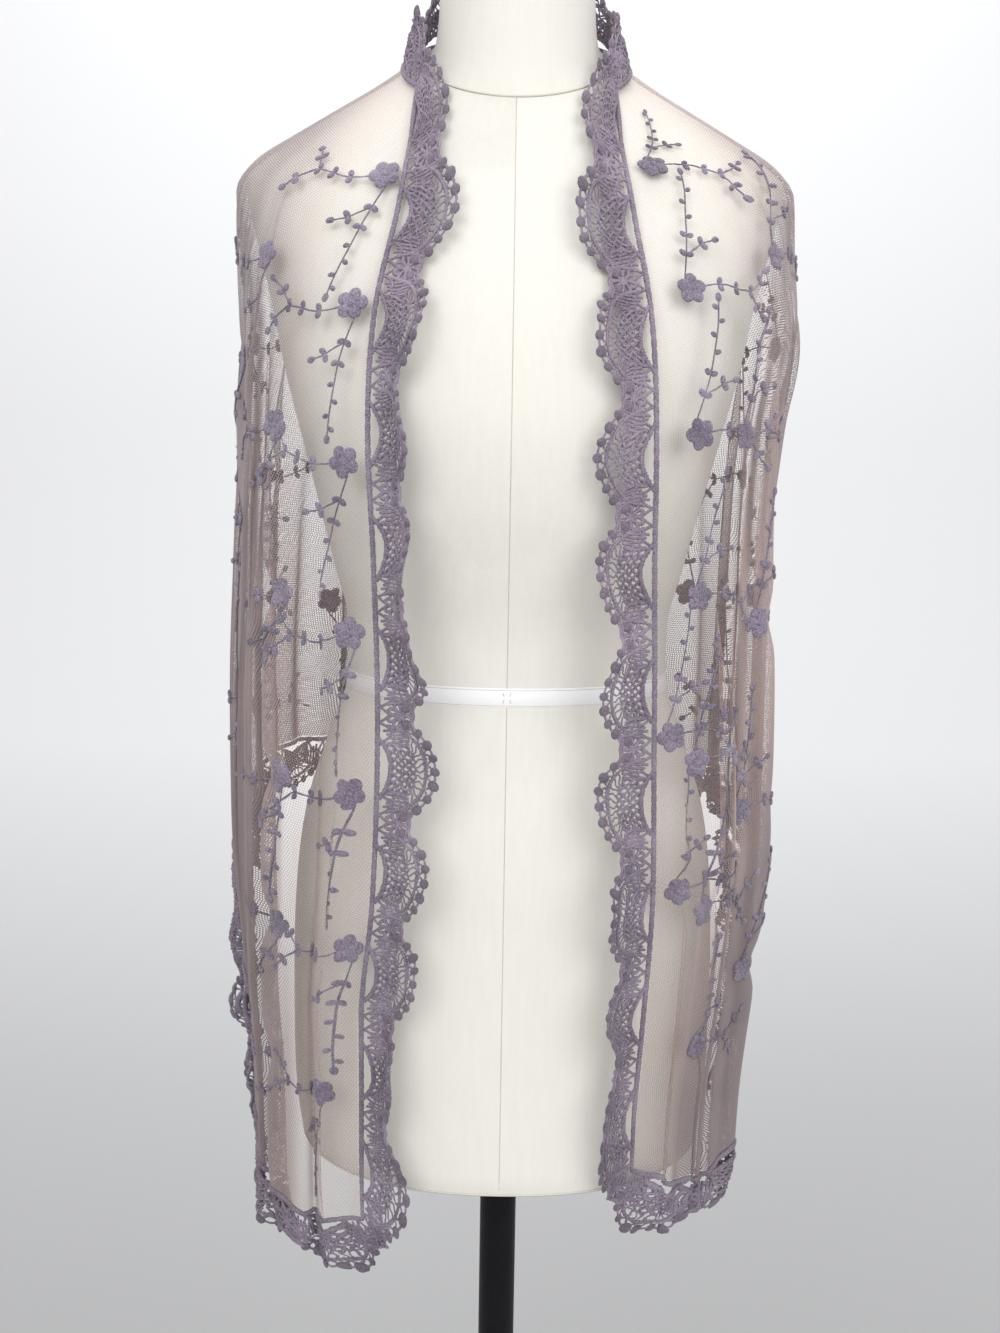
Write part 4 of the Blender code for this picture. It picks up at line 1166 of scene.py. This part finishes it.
def formGrid(name, heights, outs, segments):
    angles = np.linspace(0, 2 * math.pi, segments + 1)
    rings = np.array([formRing(height, angles, out) for height, out in zip(heights, outs)])
    if name == "formCover":
        seam = int(np.argmin(np.abs(heights - form["neckSeam"])))
        rings[seam, :, :2] *= 1 - form["seamDepth"] / form["neckHalf"]
    points = rings.transpose(1, 0, 2)[:, ::-1]
    return gridMesh(name, points, sheetUVs(points))


# Cords along lines on the form, as one piece of sewing
def addSewing(name, lines):
    cords = [{"points": points, "radius": radius} for points, radius in lines]
    vertices, loops, totals = joinedArrays([cordMesh(name, cords)])
    addPiece(name, arrayMesh(name, [vertices], loops, totals), "seam")


heights = np.unique(np.concatenate([
    np.linspace(form["low"], form["top"], form["rows"]),
    np.linspace(form["neckFrom"], form["neckTo"], form["neckRows"]),
    form["neckSeam"] + form["seamHalf"] * np.array([-1, 0, 1]),
]))
cover = cleaned(formGrid("formCover", heights, np.zeros(len(heights)), form["segments"]), 1e-5, True)
cover.set_sharp_from_angle(angle=math.radians(50))
addPiece("formCover", cover, "linen", ["form_body"])

ringAngles = np.linspace(0, 2 * math.pi, 97)
seamHeights = np.linspace(form["seamFoot"], form["neckSeam"], form["seamRows"])
seamLines = []
for angle, rows, width in ((0.0, "seamRows", "seamWidth"), (math.pi, "seamRows", "seamWidth"),
                           (math.pi / 2, "sideRows", "sideSeamWidth"),
                           (-math.pi / 2, "sideRows", "sideSeamWidth")):
    line = [formRing(height, np.array([angle]), 0.0001)[0] for height in seamHeights[:form[rows]]]
    seamLines.append((line, form[width]))
seamLines.append((formRing(form["neckSeam"], ringAngles, 0.0002), form["neckSeamWidth"]))
seamLines.append((formRing(form["hemSeam"], ringAngles, 0.0004), form["hemWidth"]))
addSewing("formSeams", seamLines)

tape = {
    "half": 0.00635, "thick": 0.0005, "segments": 160, "stitch": 0.00022, "stitchRow": 0.8,
    "cross": 0.0034, "crossAngle": 0.01,
}
tapeHeights = [-tape["half"], -tape["half"] * 0.9, 0.0, tape["half"] * 0.9, tape["half"]]
tapeOuts = [0.0001, tape["thick"], tape["thick"] * 1.15, tape["thick"], 0.0001]
band = cleaned(formGrid("waistTape", tapeHeights, tapeOuts, tape["segments"]), 1e-6)
addPiece("waistTape", band, "tape")
stitchOut = tape["thick"] * 1.1
stitchLines = []
for row in (-1, 1):
    line = formRing(row * tape["half"] * tape["stitchRow"], ringAngles, stitchOut)
    stitchLines.append((line, tape["stitch"]))
for side in (1, -1):
    for rise in (tape["cross"], -tape["cross"]):
        angle = side * tape["crossAngle"]
        ends = [formRing(rise * 0.3, np.array([angle]), stitchOut)[0],
                formRing(rise, np.array([angle * 1.6]), stitchOut)[0]]
        stitchLines.append((ends, tape["stitch"] * 1.6))
addSewing("tapeStitches", stitchLines)
print("form made")


# Stand

for name in ("stand_pole", "stand_base", "stand_collar", "neck_cap"):
    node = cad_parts[name]
    node.data.materials.clear()
    node.data.materials.append(materials["black"])
print("stand finished")


# Net area

def meshArea(piece):
    mesh = piece.data
    areas = np.zeros(len(mesh.polygons))
    mesh.polygons.foreach_get("area", areas)
    return float(areas.sum())


# The net as cut, before its border was sewn on
netArea = meshArea(netPiece)


# Floor, backdrop, lights and camera

stageSettings = {"floorSize": 9.0, "wallDistance": 2.6, "wallHeight": 5.0, "curve": 1.2, "curveSteps": 12}
sweep = bmesh.new()
profile = [(-stageSettings["floorSize"] / 2, 0.0)]
bend = stageSettings["curve"]
for i in range(stageSettings["curveSteps"] + 1):
    t = i / stageSettings["curveSteps"] * math.pi / 2
    profile.append((stageSettings["wallDistance"] - bend + bend * math.sin(t), bend - bend * math.cos(t)))
profile.append((stageSettings["wallDistance"], stageSettings["wallHeight"]))
row = [sweep.verts.new((-stageSettings["floorSize"] / 2, y, z)) for y, z in profile]
edges = [sweep.edges.new(pair) for pair in zip(row[:-1], row[1:])]
made = bmesh.ops.extrude_edge_only(sweep, edges=edges)
bmesh.ops.translate(sweep, verts=[v for v in made["geom"] if isinstance(v, bmesh.types.BMVert)],
                    vec=(stageSettings["floorSize"], 0, 0))
bmesh.ops.recalc_face_normals(sweep, faces=sweep.faces[:])
sweepMesh = bpy.data.meshes.new("backdrop")
sweep.to_mesh(sweepMesh)
sweep.free()
sweepMesh.shade_smooth()
backdrop = bpy.data.objects.new("backdrop", sweepMesh)
bpy.context.scene.collection.objects.link(backdrop)
paper, paperTree, paperShader = newMaterial("paper")
# Painted shade on the paper: its colour runs from dark grey low on the floor to near white up the wall,
# standing in for the fall of the light
paperY, paperZ = list(addNode(paperTree, "SeparateXYZ", {0: objectPlace(paperTree)}).outputs)[1:]
paperRise = weighed(paperTree, paperZ, 0.6, paperY, 0.25)
paperShadeRamp = addNode(paperTree, "ValToRGB", {"Fac": calc(paperTree, "MULTIPLY", paperRise, 0.5)})
paperShadeTones = paperShadeRamp.color_ramp.elements
paperShadeTones[0].position, paperShadeTones[0].color = 0.05, (0.44, 0.44, 0.44, 1)
paperShadeTones[1].position, paperShadeTones[1].color = 0.85, (0.92, 0.92, 0.92, 1)
paperShadeTones.new(0.42).color = (0.86, 0.86, 0.86, 1)
feed(paperTree, paperShader, {"Base Color": paperShadeRamp.outputs["Color"], "Roughness": 0.95})
sweepMesh.materials.append(paper)


def areaLight(name, place, target, size, power):
    light = bpy.data.lights.new(name, "AREA")
    light.shape = "DISK"
    light.size = size
    light.energy = power
    holder = bpy.data.objects.new(name, light)
    holder.location = place
    holder.rotation_mode = "QUATERNION"
    holder.rotation_quaternion = (Vector(target) - Vector(place)).to_track_quat("-Z", "Y")
    bpy.context.scene.collection.objects.link(holder)


areaLight("keyLight", (-0.9, -2.6, 2.5), (0, 0, 1.1), 2.0, 37)
areaLight("fillLight", (1.5, -2.6, 2.1), (0, 0, 1.1), 2.4, 37)
areaLight("wallLight", (0.0, 0.6, 3.6), (0, 2.6, 2.0), 2.4, 40)
world = bpy.data.worlds.new("studio")
bpy.context.scene.world = world
world.use_nodes = True
feed(world.node_tree, world.node_tree.nodes["Background"], {"Color": (0.96, 0.97, 1.0, 1), "Strength": 0.56})
bpy.context.scene.view_settings.view_transform = "Standard"

cameraSettings = {
    "distance": 0.98, "aside": -0.0048, "aboveWaist": 0.17, "pitch": 9.56, "roll": 0.9,
    "focalPixels": 1400.0, "imageHeight": 1333.0, "sensor": 36.0,
}
cam = bpy.data.cameras.new("camera")
cam.sensor_width = cameraSettings["sensor"]
cam.lens = cameraSettings["focalPixels"] / cameraSettings["imageHeight"] * cameraSettings["sensor"]
camera = bpy.data.objects.new("camera", cam)
bpy.context.scene.collection.objects.link(camera)
pitch, roll = math.radians(cameraSettings["pitch"]), math.radians(cameraSettings["roll"])
looking = Vector((0, math.cos(pitch), -math.sin(pitch)))
level = Vector((1, 0, 0))
upward = level.cross(looking)
across = level * math.cos(roll) + upward * math.sin(roll)
upright = -level * math.sin(roll) + upward * math.cos(roll)
place = Vector((cameraSettings["aside"], -cameraSettings["distance"], waist + cameraSettings["aboveWaist"]))
turnMatrix = Matrix((across, upright, -looking)).transposed()
camera.matrix_world = Matrix.Translation(place) @ turnMatrix.to_4x4()
cam.clip_start = 0.05
bpy.context.scene.camera = camera
print("stage made")
